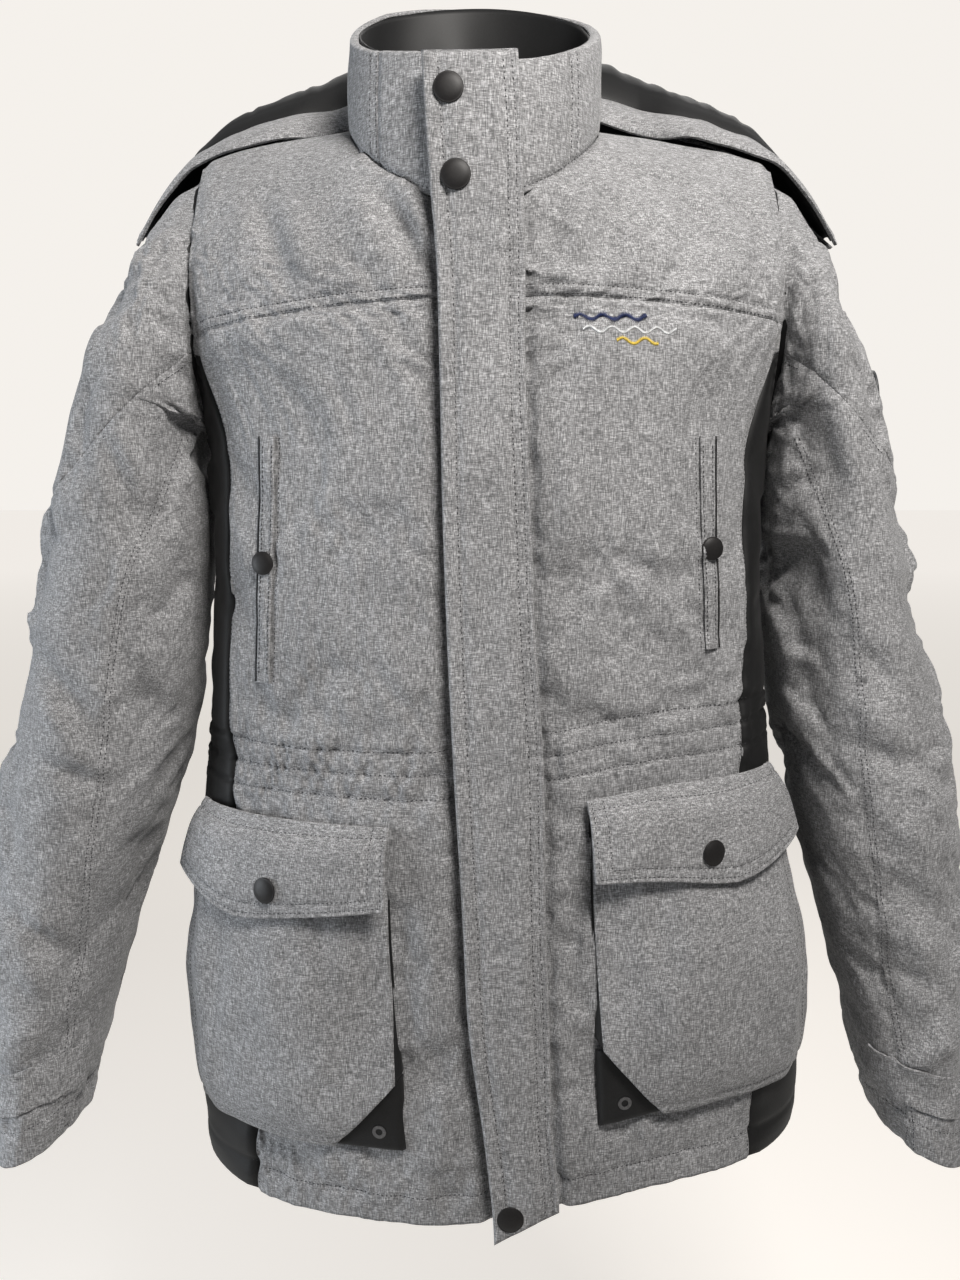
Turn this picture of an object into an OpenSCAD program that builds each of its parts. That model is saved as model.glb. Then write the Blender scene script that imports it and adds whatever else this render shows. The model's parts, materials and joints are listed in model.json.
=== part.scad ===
// Men's padded foul weather jacket as worn: stand collar, storm flap over a front zip,
// folded-back hood, waist channel, bellows cargo pockets and snap welts.
// +Z is up, the front faces -Y and the wearer's left is +X. The origin is the centre of the neck base.

/* [Body] */
// Half width of the body at the chest
chest_half = 208; // [200:1:216]
// Half width of the body at the waist channel
waist_half = 216; // [206:1:224]
// Half width of the body at the hip and hem
hip_half = 240; // [230:1:246]
// Distance from the neck base down to the hem
hem_drop = 765; // [740:5:790]
// How much higher the wearer's left side hangs at the hip
hitch = 27; // [0:1:32]
// Thickness of the shell cloth
shell_t = 1.5; // [1:0.1:1.8]

/* [Closure] */
// Width of the storm flap
flap_w = 60; // [54:1:66]
// Thickness of the padded storm flap
flap_t = 3; // [2:0.5:4]
// Radius of a snap cap
snap_r = 9; // [7.5:0.5:9.5]
// Pitch of the zip teeth
tooth_pitch = 5; // [4:0.5:6]

/* [Collar] */
// Half width of the collar
collar_half = 88; // [84:1:92]
// Height of the collar's top edge over the neck base at the sides
collar_side_z = 75; // [70:1:80]

/* [Sleeves] */
// Wall of the padded sleeve
sleeve_t = 2.5; // [2:0.5:3]

/* [Hidden] */

// Colours
melange = [0.47, 0.48, 0.49];
panel_black = [0.07, 0.07, 0.08];
lining_black = [0.10, 0.10, 0.11];
snap_grey = [0.13, 0.13, 0.14];
metal = [0.45, 0.45, 0.46];
wadding = [0.85, 0.86, 0.86];

// Body surface, from the hem up to the armpit plane
armpit_z = -200;
yoke_z = -125;
body_power = 2.3;
body_y = -5;
seam_x = 186;
back_seam_x = 150;
half_width = [[-hem_drop, hip_half], [-600, hip_half], [-520, hip_half - 11], [-440, waist_half],
              [-380, chest_half + 4], [-300, chest_half + 1], [armpit_z, chest_half]];
back_y = [[-hem_drop, 116], [-600, 110], [-520, 98], [-440, 86], [-300, 98], [armpit_z, 110]];
low_rows = [-hem_drop, -690, -600, -520, -440, -380, -300, armpit_z];

// Centre front line, straight from the collar top to the hem
cf_top = [-10, -118, 30];
cf_low = [20, -146, -765];
cf_tilt_x = -atan((cf_top.y - cf_low.y) / (cf_top.z - cf_low.z));
cf_tilt_y = atan((cf_top.x - cf_low.x) / norm([cf_top.y - cf_low.y, cf_top.z - cf_low.z]));
cf_length = norm(cf_top - cf_low);
cf_gap = 10;
slot_half = 17;

// Neck ring and collar
neck_x = -9;
neck_y = -30;
neck_front = 91;
neck_back = 78;

// Armhole and sleeve
armhole_x = chest_half;
armhole_z = -110;

function smooth(t) = let(c = min(1, max(0, t))) c * c * (3 - 2 * c);
function sgnpow(v, p) = sign(v) * pow(abs(v), p);
function mix(a, b, t) = a + (b - a) * t;

function sway(z) = 12 * smooth((-450 - z) / 315);
function lift(x, z) = hitch * smooth((x + 60) / 200) * smooth((armpit_z - z) / 220);
function hung(p) = [p.x + sway(p.z), p.y, p.z + lift(p.x, p.z)];
function front_y(z) = cf_low.y + (cf_top.y - cf_low.y) * (z - cf_low.z) / (cf_top.z - cf_low.z);

// A point of the body below the armpit: u is 0 at the front and 90 at the wearer's left
function body_at(u, z, off) =
    let (a = lookup(z, half_width) + off,
         b = (cos(u) > 0 ? body_y - front_y(z) : lookup(z, back_y) - body_y) + off,
         k = 2 / body_power)
    hung([a * sgnpow(sin(u), k), body_y - b * sgnpow(cos(u), k), z]);
function u_of_x(x, z, off) = asin(sgnpow(x / (lookup(z, half_width) + off), body_power / 2));
function front_at(x, z, off) = body_at(u_of_x(x, z, off), z, off);

// The neck ring, and the top edge of the collar
function neck_at(u, off) =
    [neck_x + (collar_half + off) * sin(u),
     neck_y - ((cos(u) > 0 ? neck_front : neck_back) + off) * cos(u),
     22 - 77 * pow((1 + cos(u)) / 2, 2.5)];
function collar_at(u, off) =
    [neck_x + (collar_half - 1 + off) * sin(u),
     neck_y - ((cos(u) > 0 ? neck_front - 3 : neck_back + 2) + off) * cos(u),
     collar_side_z - 45 * cos(u)];

// The shoulder: a rational curve from the armpit ring over the shoulder ring to the neck
shoulder_weight = 3;
function shoulder_ring(u, off) =
    let (c = cos(u))
    [(chest_half + 58 + off) * sgnpow(sin(u), 0.8),
     body_y - ((c > 0 ? 119 : 117) + off) * sgnpow(c, 1.25),
     off - 5 - (c > 0 ? 125 : -57) * c];
function shoulder_at(u, t, off) =
    let (w0 = (1 - t) * (1 - t), w1 = 2 * t * (1 - t) * shoulder_weight, w2 = t * t)
    (w0 * body_at(u, armpit_z, off) + w1 * shoulder_ring(u, off) + w2 * neck_at(u, off)) / (w0 + w1 + w2);

// A closed slab between two grids of points, rows by columns; wrap joins the last column to the first
module slab(outer, inner, wrap = false) {
    rows = len(outer);
    cols = len(outer[0]);
    n = rows * cols;
    last = wrap ? cols - 1 : cols - 2;
    points = [for (g = [outer, inner]) for (r = g) for (p = r) p];
    function at(r, c) = r * cols + c % cols;
    function quad(a, b, c, d) = [[a, b, c], [a, c, d]];
    faces = [
        for (r = [0:rows - 2]) for (c = [0:last]) for (f = quad(at(r, c), at(r + 1, c), at(r + 1, c + 1), at(r, c + 1))) f,
        for (r = [0:rows - 2]) for (c = [0:last])
            for (f = quad(n + at(r, c), n + at(r, c + 1), n + at(r + 1, c + 1), n + at(r + 1, c))) f,
        for (c = [0:last]) for (f = quad(at(0, c), at(0, c + 1), n + at(0, c + 1), n + at(0, c))) f,
        for (c = [0:last])
            for (f = quad(at(rows - 1, c + 1), at(rows - 1, c), n + at(rows - 1, c), n + at(rows - 1, c + 1))) f,
        if (!wrap) for (r = [0:rows - 2])
            for (f = quad(at(r + 1, 0), at(r, 0), n + at(r, 0), n + at(r + 1, 0))) f,
        if (!wrap) for (r = [0:rows - 2])
            for (f = quad(at(r, cols - 1), at(r + 1, cols - 1), n + at(r + 1, cols - 1), n + at(r, cols - 1))) f];
    polyhedron(points, faces);
}

// The part of the body below the armpit between two angles that depend on height and offset
module low_panel(from_u, to_u, cols, off0, off1, rows = low_rows) {
    slab([for (z = rows) [for (i = [0:cols]) body_at(mix(from_u(z, off1), to_u(z, off1), i / cols), z, off1)]],
         [for (z = rows) [for (i = [0:cols]) body_at(mix(from_u(z, off0), to_u(z, off0), i / cols), z, off0)]]);
}
shoulder_steps = [0, 0.12, 0.25, 0.4, 0.55, 0.7, 0.85, 1];
module high_panel(u0, u1, cols, off0, off1) {
    slab([for (t = shoulder_steps) [for (i = [0:cols]) shoulder_at(mix(u0, u1, i / cols), t, off1)]],
         [for (t = shoulder_steps) [for (i = [0:cols]) shoulder_at(mix(u0, u1, i / cols), t, off0)]]);
}
function seam_u(z, off) = u_of_x(seam_x, z, off);
function back_seam_u(z, off) = 180 - u_of_x(back_seam_x, z, off);

// Places a child on the centre front: local Z up the zip, local -Y outward
module on_cf() translate(cf_top) rotate([cf_tilt_x, cf_tilt_y, 0]) children();
module cf_box(x0, x1, y0, y1, z0 = -cf_length - 60, z1 = 60)
    on_cf() translate([x0, y0, z0]) cube([x1 - x0, y1 - y0, z1 - z0]);
module cf_half(side) cf_box(side > 0 ? cf_gap : -400, side > 0 ? 400 : -cf_gap, -200, 200);
module inside_armholes() translate([-armhole_x, -300, -900]) cube([2 * armhole_x, 600, 1200]);
module above(z) translate([-500, -400, z]) cube([1000, 800, 600]);
module below(z) translate([-500, -400, z - 900]) cube([1000, 800, 900]);

// Shell panels
module front_low() low_panel(function(z, o) -seam_u(z, o), function(z, o) seam_u(z, o), 16, -shell_t, 0);
module front_high() intersection() {
    high_panel(-90, 90, 24, -shell_t, 0);
    inside_armholes();
}
module front_panel(side) color(melange) intersection() {
    union() { front_low(); intersection() { front_high(); below(yoke_z); } }
    cf_half(side);
}
module front_yoke(side) color(melange) intersection() {
    front_high();
    above(yoke_z);
    cf_half(side);
}
module back_high() intersection() {
    high_panel(90, 270, 24, -shell_t, 0);
    inside_armholes();
}
module back_panel() color(melange) {
    low_panel(function(z, o) back_seam_u(z, o), function(z, o) 360 - back_seam_u(z, o), 10, -shell_t, 0);
    intersection() { back_high(); below(yoke_z); }
}
module back_yoke() color(melange) intersection() { back_high(); above(yoke_z); }
module side_panel(side) color(panel_black)
    if (side > 0) low_panel(function(z, o) seam_u(z, o), function(z, o) back_seam_u(z, o), 10, -shell_t, 0);
    else low_panel(function(z, o) 360 - back_seam_u(z, o), function(z, o) 360 - seam_u(z, o), 10, -shell_t, 0);

// Layers behind the shell, open at the centre front, the neck and the armholes
module layer(off0, off1, z0 = -hem_drop + 12) {
    rows = [z0, for (z = low_rows) if (z > z0 + 10) z];
    difference() {
        union() {
            slab([for (z = rows) [for (i = [0:31]) body_at(i * 11.25, z, off1)]],
                 [for (z = rows) [for (i = [0:31]) body_at(i * 11.25, z, off0)]], true);
            intersection() {
                slab([for (t = shoulder_steps) [for (i = [0:47]) shoulder_at(i * 7.5, t, off1)]],
                     [for (t = shoulder_steps) [for (i = [0:47]) shoulder_at(i * 7.5, t, off0)]], true);
                inside_armholes();
            }
        }
        cf_box(-slot_half, slot_half, -100, 30);
    }
}
module body_insulation() color(wadding) layer(-7.2, -3.2);
module body_lining() color(lining_black) layer(-9.6, -8.2);
module hem_facing() color(melange) difference() {
    slab([for (z = [-hem_drop, -hem_drop + 11]) [for (i = [0:31]) body_at(i * 11.25, z, -3)]],
         [for (z = [-hem_drop, -hem_drop + 11]) [for (i = [0:31]) body_at(i * 11.25, z, -4.6)]], true);
    cf_box(-slot_half, slot_half, -100, 30);
}

// Waist channel, a stitched casing with its elastic
channel_low = -468;
channel_high = -424;
function channel_rows() = [channel_low, -440, channel_high];
module waist_channel(side) color(melange) intersection() {
    low_panel(function(z, o) side > 0 ? 0 : -seam_u(z, o), function(z, o) side > 0 ? seam_u(z, o) : 0,
              8, 0.5, 2, channel_rows());
    cf_box(side > 0 ? flap_w / 2 + 2 : -400, side > 0 ? 400 : -flap_w / 2 - 2, -200, 200);
}
module waist_channel_back() color(melange)
    low_panel(function(z, o) back_seam_u(z, o), function(z, o) 360 - back_seam_u(z, o), 10, 0.5, 2, channel_rows());

// Collar
collar_seam_x = 66;
module collar_ring(off0, off1) slab(
    [for (t = [0, 0.5, 1]) [for (i = [0:39]) mix(neck_at(i * 9, off1), collar_at(i * 9, off1), mix(0.01, 1, t))]],
    [for (t = [0, 0.5, 1]) [for (i = [0:39]) mix(neck_at(i * 9, off0), collar_at(i * 9, off0), mix(0.01, 1, t))]], true);
module collar_side(side) translate([side > 0 ? 0 : -collar_seam_x - 8, -200, -100]) cube([collar_seam_x + 8, 170, 300]);
module collar_front(side) color(melange) difference() {
    intersection() {
        collar_ring(-5, 0);
        collar_side(side);
        cf_half(side);
    }
    cf_box(-slot_half, slot_half, 1.9, 20);
}
module collar_back() color(melange) difference() {
    collar_ring(-5, 0);
    for (s = [-1, 1]) collar_side(s);
}
module collar_lining() color(lining_black) difference() {
    collar_ring(-7.5, -6);
    cf_box(-slot_half, slot_half, -100, 60);
}

// Hanger loop at the back of the neck
loop_half = 30;
loop_stand = 12;
module hanger_loop() color(lining_black) translate([neck_x, neck_y + neck_back - 14.6, 34])
    intersection() {
        difference() {
            scale_loop(loop_half, loop_stand);
            scale_loop(loop_half - 2, loop_stand - 2);
        }
        translate([-loop_half, -loop_stand, -3]) cube([2 * loop_half, loop_stand, 6]);
    }
module scale_loop(half, stand) linear_extrude(8, center = true)
    polygon([for (i = [0:12]) [-half * cos(i * 15), -stand * sin(i * 15)]]);

// Zip: tapes, teeth, slider, pull and the wind guard behind
module zip_tape(side) color(lining_black) on_cf()
    translate([side > 0 ? 3 : -16, 3.1, -cf_length + 4]) cube([13, 0.6, cf_length - 8]);
tooth_count = floor((cf_length - 14) / tooth_pitch);
tooth_w = tooth_pitch * 0.42;
// One comb of teeth: a bead beside the tape with a tooth at each pitch
module zip_teeth(side) color(lining_black) on_cf() translate([0, 3.4, -cf_length + 7]) rotate([90, 0, 0])
    linear_extrude(2.6) polygon([
        [side * 3, 0],
        for (i = [0:tooth_count - 1])
            let (z = i * tooth_pitch + (side > 0 ? 0 : tooth_pitch / 2) + 0.4, w = tooth_w)
            for (p = [[side * 1.7, z], [-side * 1.2, z], [-side * 1.2, z + w], [side * 1.7, z + w]]) p,
        [side * 1.7, tooth_count * tooth_pitch + 2],
        [side * 3, tooth_count * tooth_pitch + 2]]);
slider_l = 14;
slider_top = -6;
module slider_plate(y0, y1) translate([0, y1, slider_top]) rotate([90, 0, 0]) linear_extrude(y1 - y0)
    offset(r = 2, $fn = 24) polygon([[-4.5, -2], [4.5, -2], [3, -slider_l + 2], [-3, -slider_l + 2]]);
module zip_slider() color(metal) on_cf() {
    slider_plate(-1.4, 0.2);
    slider_plate(4.1, 5.5);
    translate([0, -1.4, slider_top - 5]) rotate([90, 0, 0]) cylinder(r = 1.4, h = 1.7, $fn = 32);
}
pull_l = 34;
module zip_pull() color(metal) on_cf() translate([0, -1.75, slider_top - 5]) rotate([90, 0, 0])
    linear_extrude(1.2) difference() {
        hull() {
            circle(r = 3.6, $fn = 32);
            translate([0, -pull_l]) circle(r = 4.6, $fn = 32);
        }
        circle(r = 1.6, $fn = 32);
        translate([0, -pull_l]) circle(r = 2, $fn = 32);
    }
module wind_guard() color(lining_black) cf_box(-16.5, 16.5, 6.6, 8.2, -cf_length + 14, -96);

// Storm flap with its snaps; the lower free corner tapers
flap_y = -4.5;
flap_low = -cf_length - 4;
flap_taper = 14;
module storm_flap() color(melange) on_cf() translate([0, flap_y, 0]) rotate([90, 0, 0]) linear_extrude(flap_t)
    polygon([[-flap_w / 2 - 3, 2], [-flap_w / 2 - 2, -160], [-flap_w / 2, -cf_length + 120],
             [-flap_w / 2 + flap_taper, flap_low - 8], [flap_w / 2, flap_low], [flap_w / 2, 2]]);
flap_snaps = [[-15.5, -23], [-13, -75], [-3, -784]];
module at_flap_snaps(y) on_cf() for (s = flap_snaps) translate([s.x, y, s.y]) rotate([90, 0, 0]) children();
module snap_cap(r) {
    cylinder(r = r, h = 1, $fn = 64);
    translate([0, 0, 1]) cylinder(r1 = r, r2 = r - 2.5, h = 1.1, $fn = 64);
}
module snap_socket() difference() {
    cylinder(r = 6, h = 2.1, $fn = 48);
    translate([0, 0, -1]) cylinder(r = 3.2, h = 4, $fn = 48);
}
module snap_stud() {
    cylinder(r = 6, h = 1.2, $fn = 48);
    translate([0, 0, 1.2]) cylinder(r = 2.5, h = 2, $fn = 48);
}
module flap_snap_caps() color(snap_grey) at_flap_snaps(flap_y - flap_t) snap_cap(snap_r);
module flap_snap_sockets() color(metal) at_flap_snaps(flap_y + 2.1) snap_socket();
module flap_snap_studs() color(metal) at_flap_snaps(-0.2) snap_stud();

// Cargo pockets: a bellows box whose inner lower corner is cut back over a black gusset
pocket_in_x = 70;
pocket_out_u = 66;
pocket_rows = [[-705, 6], [-690, 15], [-600, 20], [-520, 12], [-480, 7.5]];
gusset_w = 52;
gusset_h = 62;
function pocket_u(i, cols, z, off) = mix(u_of_x(pocket_in_x, z, off), pocket_out_u, i / cols);
module pocket_box(side, grow = 0) slab(
    [for (r = pocket_rows) [for (i = [0:8]) body_at(side * pocket_u(side > 0 ? i : 8 - i, 8, r[0], 0), r[0],
        (i == 0 || i == 8 ? 0.6 : 1) * r[1] + grow)]],
    [for (r = pocket_rows) [for (i = [0:8]) body_at(side * pocket_u(side > 0 ? i : 8 - i, 8, r[0], 0), r[0], 1)]]);
module corner_cut(side, extra = 0) {
    p = body_at(side * pocket_u(0, 8, -705, 0), -705, 0);
    translate([p.x - side * 20, -260, p.z - 20]) rotate([90, 0, 0]) mirror([0, 0, 1]) linear_extrude(240)
        polygon([[0, 0], [side * (gusset_w + 38 + extra), 0], [0, gusset_h + 42 + extra]]);
}
pocket_wall = 2.2;
mouth_rows = [[-697, 6], [-690, 11.5], [-600, 16.5], [-520, 9.2], [-470, 4.9]];
// The room inside, open at the top under the flap
module pocket_room(side) slab(
    [for (r = mouth_rows) [for (i = [0:8]) body_at(side * room_u(side > 0 ? i : 8 - i, r[0]), r[0], r[1] * (i == 0 || i == 8 ? 0.6 : 1))]],
    [for (r = mouth_rows) [for (i = [0:8]) body_at(side * room_u(side > 0 ? i : 8 - i, r[0]), r[0], 1 + pocket_wall)]]);
function room_u(i, z) = mix(pocket_u(0, 8, z, 0) + 2, pocket_out_u - 2, i / 8);
module cargo_pocket(side) color(melange) difference() {
    pocket_box(side);
    corner_cut(side);
    difference() { pocket_room(side); corner_cut(side, 6); }
}
eye_in = 16;
eye_up = 13;
eye_r = 2.5;
function eye_at(side) = let (p = front_at(side * (pocket_in_x + eye_in), -705 + eye_up, 0)) p;
function eye_turn(side) = let (a = front_at(side * (pocket_in_x + eye_in - 4), -705 + eye_up, 8),
    b = front_at(side * (pocket_in_x + eye_in + 4), -705 + eye_up, 8)) atan2(b.y - a.y, b.x - a.x);
module at_eye(side) translate(eye_at(side)) rotate([0, 0, side > 0 ? eye_turn(side) : eye_turn(side) + 180])
    rotate([90, 0, 0]) children();
module pocket_gusset(side) color(panel_black) difference() {
    slab([for (z = [-705, -680, -644]) [for (i = [0:4]) front_at(side * mix(pocket_in_x, pocket_in_x + gusset_w,
             (side > 0 ? i : 4 - i) / 4), z, 5)]],
         [for (z = [-705, -680, -644]) [for (i = [0:4]) front_at(side * mix(pocket_in_x, pocket_in_x + gusset_w,
             (side > 0 ? i : 4 - i) / 4), z, 0.6)]]);
    gusset_keep(side);
    at_eye(side) translate([0, 0, -8]) cylinder(r = eye_r + 0.9, h = 30, $fn = 48);
}
// What the diagonal takes off the gusset, a hair past the pocket's cut
module gusset_keep(side) {
    p = body_at(side * pocket_u(0, 8, -705, 0), -705, 0);
    translate([p.x - side * 20, -260, p.z - 20]) rotate([90, 0, 0]) mirror([0, 0, 1]) linear_extrude(240)
        polygon([[side * (gusset_w + 37), 0], [0, gusset_h + 41], [0, 300], [side * 300, 300], [side * 300, 0]]);
}
module eyelet(side) color(metal) at_eye(side) difference() {
    union() {
        translate([0, 0, 1.2]) cylinder(r = eye_r + 0.7, h = 5.2, $fn = 48);
        translate([0, 0, 5.4]) cylinder(r = eye_r + 2.4, h = 1, $fn = 48);
    }
    translate([0, 0, -1]) cylinder(r = eye_r, h = 12, $fn = 48);
}

// Cargo flap: a pointed flap over the pocket mouth
cargo_top = -470;
flap_low_line = [[0, -523], [0.5, -540], [1, -519]];
function cargo_off(z) = lookup(z, [[-545, 18.5], [-500, 13], [cargo_top, 10]]);
module cargo_flap(side) color(melange) slab(
    [for (k = [0:3]) [for (i = [0:8]) cargo_point(side, side > 0 ? i : 8 - i, k, 2.4)]],
    [for (k = [0:3]) [for (i = [0:8]) cargo_point(side, side > 0 ? i : 8 - i, k, 0)]]);
function cargo_point(side, i, k, t) = let (z = mix(lookup(i / 8, flap_low_line), cargo_top, k / 3))
    body_at(side * mix(u_of_x(pocket_in_x - 4, z, 0), pocket_out_u + 1.5, i / 8), z, cargo_off(z) + t);
cargo_snap_x = 150;
cargo_snap_z = -516;
function cargo_snap_turn(side) = let (a = front_at(side * (cargo_snap_x - 6), cargo_snap_z, 16),
    b = front_at(side * (cargo_snap_x + 6), cargo_snap_z, 16)) atan2(b.y - a.y, b.x - a.x);
module at_cargo_snap(side) translate(front_at(side * cargo_snap_x, cargo_snap_z, cargo_off(cargo_snap_z)))
    rotate([0, 0, side > 0 ? cargo_snap_turn(side) : cargo_snap_turn(side) + 180])
    rotate([90 - 6, 0, 0]) children();
module cargo_snap_cap(side) color(snap_grey) at_cargo_snap(side) translate([0, 0, 3.3]) snap_cap(snap_r);
module cargo_snap_stud(side) color(metal) at_cargo_snap(side) translate([0, 0, -1.6]) cylinder(r = 5.5, h = 0.9, $fn = 48);

// Chest welts, snapped shut over a slit pocket
welt_in_x = 146;
welt_out_x = 165;
welt_rows = [-376, -330, -290, -250, -206];
module welt(side) color(melange) slab(
    [for (z = welt_rows) [for (i = [0:3]) welt_point(side, side > 0 ? i : 3 - i, z, 2.6)]],
    [for (z = welt_rows) [for (i = [0:3]) welt_point(side, side > 0 ? i : 3 - i, z, 0.8)]]);
function welt_point(side, i, z, off) = front_at(side * mix(welt_in_x, welt_out_x, i / 3), z, off);
welt_snap_z = -292;
function welt_turn(side) = let (a = front_at(side * welt_in_x, welt_snap_z, 2), b = front_at(side * welt_out_x,
    welt_snap_z, 2)) atan2(b.y - a.y, b.x - a.x);
module welt_snap(side) color(snap_grey)
    translate(front_at(side * (welt_out_x - 9), welt_snap_z, 3.2))
    rotate([0, 0, side > 0 ? welt_turn(side) : welt_turn(side) + 180]) rotate([90, 0, 0]) snap_cap(8);

// Sleeves: rings that turn from the armhole plane down to the cuff.
// Each ring is centre x, centre y, centre z, lean of its plane, half width and half depth.
pivot_x = armhole_x + 3.5;
pivot_z = -200;
function elbow_ring(lean, r, depth) = [pivot_x + (3 + r) * sin(lean), body_y, pivot_z + (3 + r) * cos(lean), lean, r, depth];
sleeve_rings = [
    [armhole_x + 0.7, -8, armhole_z, 0, 88, 66],
    elbow_ring(10, 77, 74), elbow_ring(24, 66, 80), elbow_ring(44, 54, 82), elbow_ring(80, 46, 82),
    [270, -8, -274, 95, 51, 81], [282, -13, -359, 97, 58, 80], [296, -20, -437, 99, 61, 78],
    [313, -28, -516, 101, 56, 74], [328, -36, -588, 103, 48, 70], [338, -43, -648, 105, 40, 66],
    [344, -49, -700, 108, 35, 61], [349, -54, -738, 111, 33, 58]];
function ring_point(r, a, off) =
    let (k = 2 / 2.15, w = (r[4] + off) * sgnpow(cos(a), k), d = (r[5] + off) * sgnpow(sin(a), k))
    [r[0] + w * sin(r[3]), r[1] + d, r[2] + w * cos(r[3])];
sleeve_cols = 16;
function sleeve_grid(off) = [for (r = sleeve_rings) [for (i = [0:sleeve_cols - 1])
    let (a = i * 360 / sleeve_cols) ring_point(r, a, off)]];
module sleeve_tube(off0, off1) slab(sleeve_grid(off0), sleeve_grid(off1), true);
// Cuts along the seam of the sleeve cap, from the armhole out and up
module cap_side(keep) translate([armhole_x - 10, -200, -134]) rotate([0, -44, 0])
    translate([-200, 0, keep > 0 ? 0 : -900]) cube([600, 400, 900]);
module to_side(side) if (side > 0) children(); else mirror([1, 0, 0]) children();
module sleeve(side) color(melange) to_side(side) difference() { sleeve_tube(-sleeve_t, 0); cap_side(1); }
module sleeve_cap(side) color(melange) to_side(side) intersection() { sleeve_tube(-sleeve_t, 0); cap_side(1); }
module sleeve_lining(side) color(lining_black) to_side(side) sleeve_tube(-sleeve_t - 1.6, -sleeve_t - 0.5);

// Cuff tab, sewn at its back end and closed on a hook pad
tab_rows = [[344, -49, -700, 108, 35, 61], [339.5, -44.5, -662, 105.6, 39, 65]];
tab_from = -150;
tab_to = -60;
function tab_grid(off) = [for (r = tab_rows) [for (i = [0:6]) ring_point(r, mix(tab_from, tab_to, i / 6), off)]];
module cuff_tab(side) color(melange) to_side(side) slab(tab_grid(0.9), tab_grid(2.9));

// Hood, lying open on the shoulders and hanging down the back. The profile runs from the brim's
// front edge (0) over the roll to the crest at the back (0.5) and down to the fold (1).
hood_x = [0, 40, 78, 106, 118, 150, 180, 205, 228, 246, 260];
hood_front = [[0, 80], [106, 72], [118, -6], [180, -12], [228, -8], [260, 2]];
hood_brim = [[0, 34], [106, 26], [118, 15], [150, 8], [180, 1], [205, -6], [228, -21], [246, -40], [260, -61]];
hood_crest = [[0, 72], [106, 66], [118, 60], [150, 48], [180, 36], [205, 22], [228, 0], [246, -24], [260, -50]];
hood_rear = [[0, 162], [78, 156], [118, 146], [150, 132], [180, 114], [205, 98], [228, 82], [246, 66], [260, 48]];
hood_fold = [[0, -290], [40, -286], [78, -262], [106, -215], [150, -110], [180, -48], [205, -28], [228, -30], [246, -42], [260, -60]];
function hood_at(x, t, off) =
    let (ax = abs(x), a = 180 * t, yf = lookup(ax, hood_front), yr = lookup(ax, hood_rear),
         zf = lookup(ax, hood_brim), zc = lookup(ax, hood_crest), zl = lookup(ax, hood_fold),
         d = max(0, 2 * t - 1))
    t <= 0.5 ? [x, mix(yf, yr - 14, pow(t / 0.5, 1.3)) + off * (t < 0.25 ? -0.5 : 0.2), zf + (zc - zf) * pow(sin(a), 0.75) + off * 0.9]
             : [x, yr - 14 + 14 * sin(min(90, d * 400)) - 34 * d * d + off, mix(zc, zl, pow(d, 0.9)) + off * 0.2];
function hood_rows(xs, ts, off) = [for (x = xs) [for (t = ts) hood_at(x, t, off)]];
hood_xs = concat([for (i = [len(hood_x) - 1:-1:1]) -hood_x[i]], hood_x);
hood_wing = [for (x = hood_x) if (x > 110) x];
// Brim strips in front of the roll, and the outer side of the bag behind
module hood_shell() color(melange) {
    slab(hood_rows(hood_wing, [0, 0.06, 0.13, 0.2], 0), hood_rows(hood_wing, [0, 0.06, 0.13, 0.2], -2.5));
    mirror([1, 0, 0]) slab(hood_rows(hood_wing, [0, 0.06, 0.13, 0.2], 0), hood_rows(hood_wing, [0, 0.06, 0.13, 0.2], -2.5));
    slab(hood_rows(hood_xs, [0.5, 0.56, 0.62, 0.72, 0.83, 0.92, 1], 0),
         hood_rows(hood_xs, [0.5, 0.56, 0.62, 0.72, 0.83, 0.92, 1], -2));
}
module hood_lining() color(lining_black) {
    slab(hood_rows(hood_wing, [0.21, 0.28, 0.36, 0.43, 0.49], 0), hood_rows(hood_wing, [0.21, 0.28, 0.36, 0.43, 0.49], -4));
    mirror([1, 0, 0]) slab(hood_rows(hood_wing, [0.21, 0.28, 0.36, 0.43, 0.49], 0), hood_rows(hood_wing, [0.21, 0.28, 0.36, 0.43, 0.49], -4));
    slab(hood_rows(hood_xs, [0.56, 0.62, 0.72, 0.83, 0.92, 0.98], -3.5), hood_rows(hood_xs, [0.56, 0.62, 0.72, 0.83, 0.92, 0.98], -6));
}
// The hood's lower back panel, which stays on the back yoke behind the collar
neck_panel_steps = [0.5, 0.6, 0.7, 0.8, 0.9, 0.97];
module hood_neck_panel() color(lining_black)
    slab([for (t = neck_panel_steps) [for (i = [0:14]) shoulder_at(124 + i * 8, t, 2.6)]],
         [for (t = neck_panel_steps) [for (i = [0:14]) shoulder_at(124 + i * 8, t, 1)]]);

// Generic badge on the wearer's left sleeve, and the embroidered waves on the chest
module sleeve_badge() color(panel_black) translate([306.2, body_y, -188]) rotate([0, 78, 0]) cylinder(r = 17, h = 1.2, $fn = 64);
module chest_emblem() color([0.12, 0.15, 0.3]) for (k = [0:2])
    slab([for (z = [0, 3]) [for (i = [0:6]) emblem_point(i, k, z, 1)]],
         [for (z = [0, 3]) [for (i = [0:6]) emblem_point(i, k, z, 0.4)]]);
function emblem_point(i, k, dz, off) = let (p = shoulder_at(mix(14, 33, i / 6), 0.19, off)) [p.x, p.y, -130 - k * 8 + dz];

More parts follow.
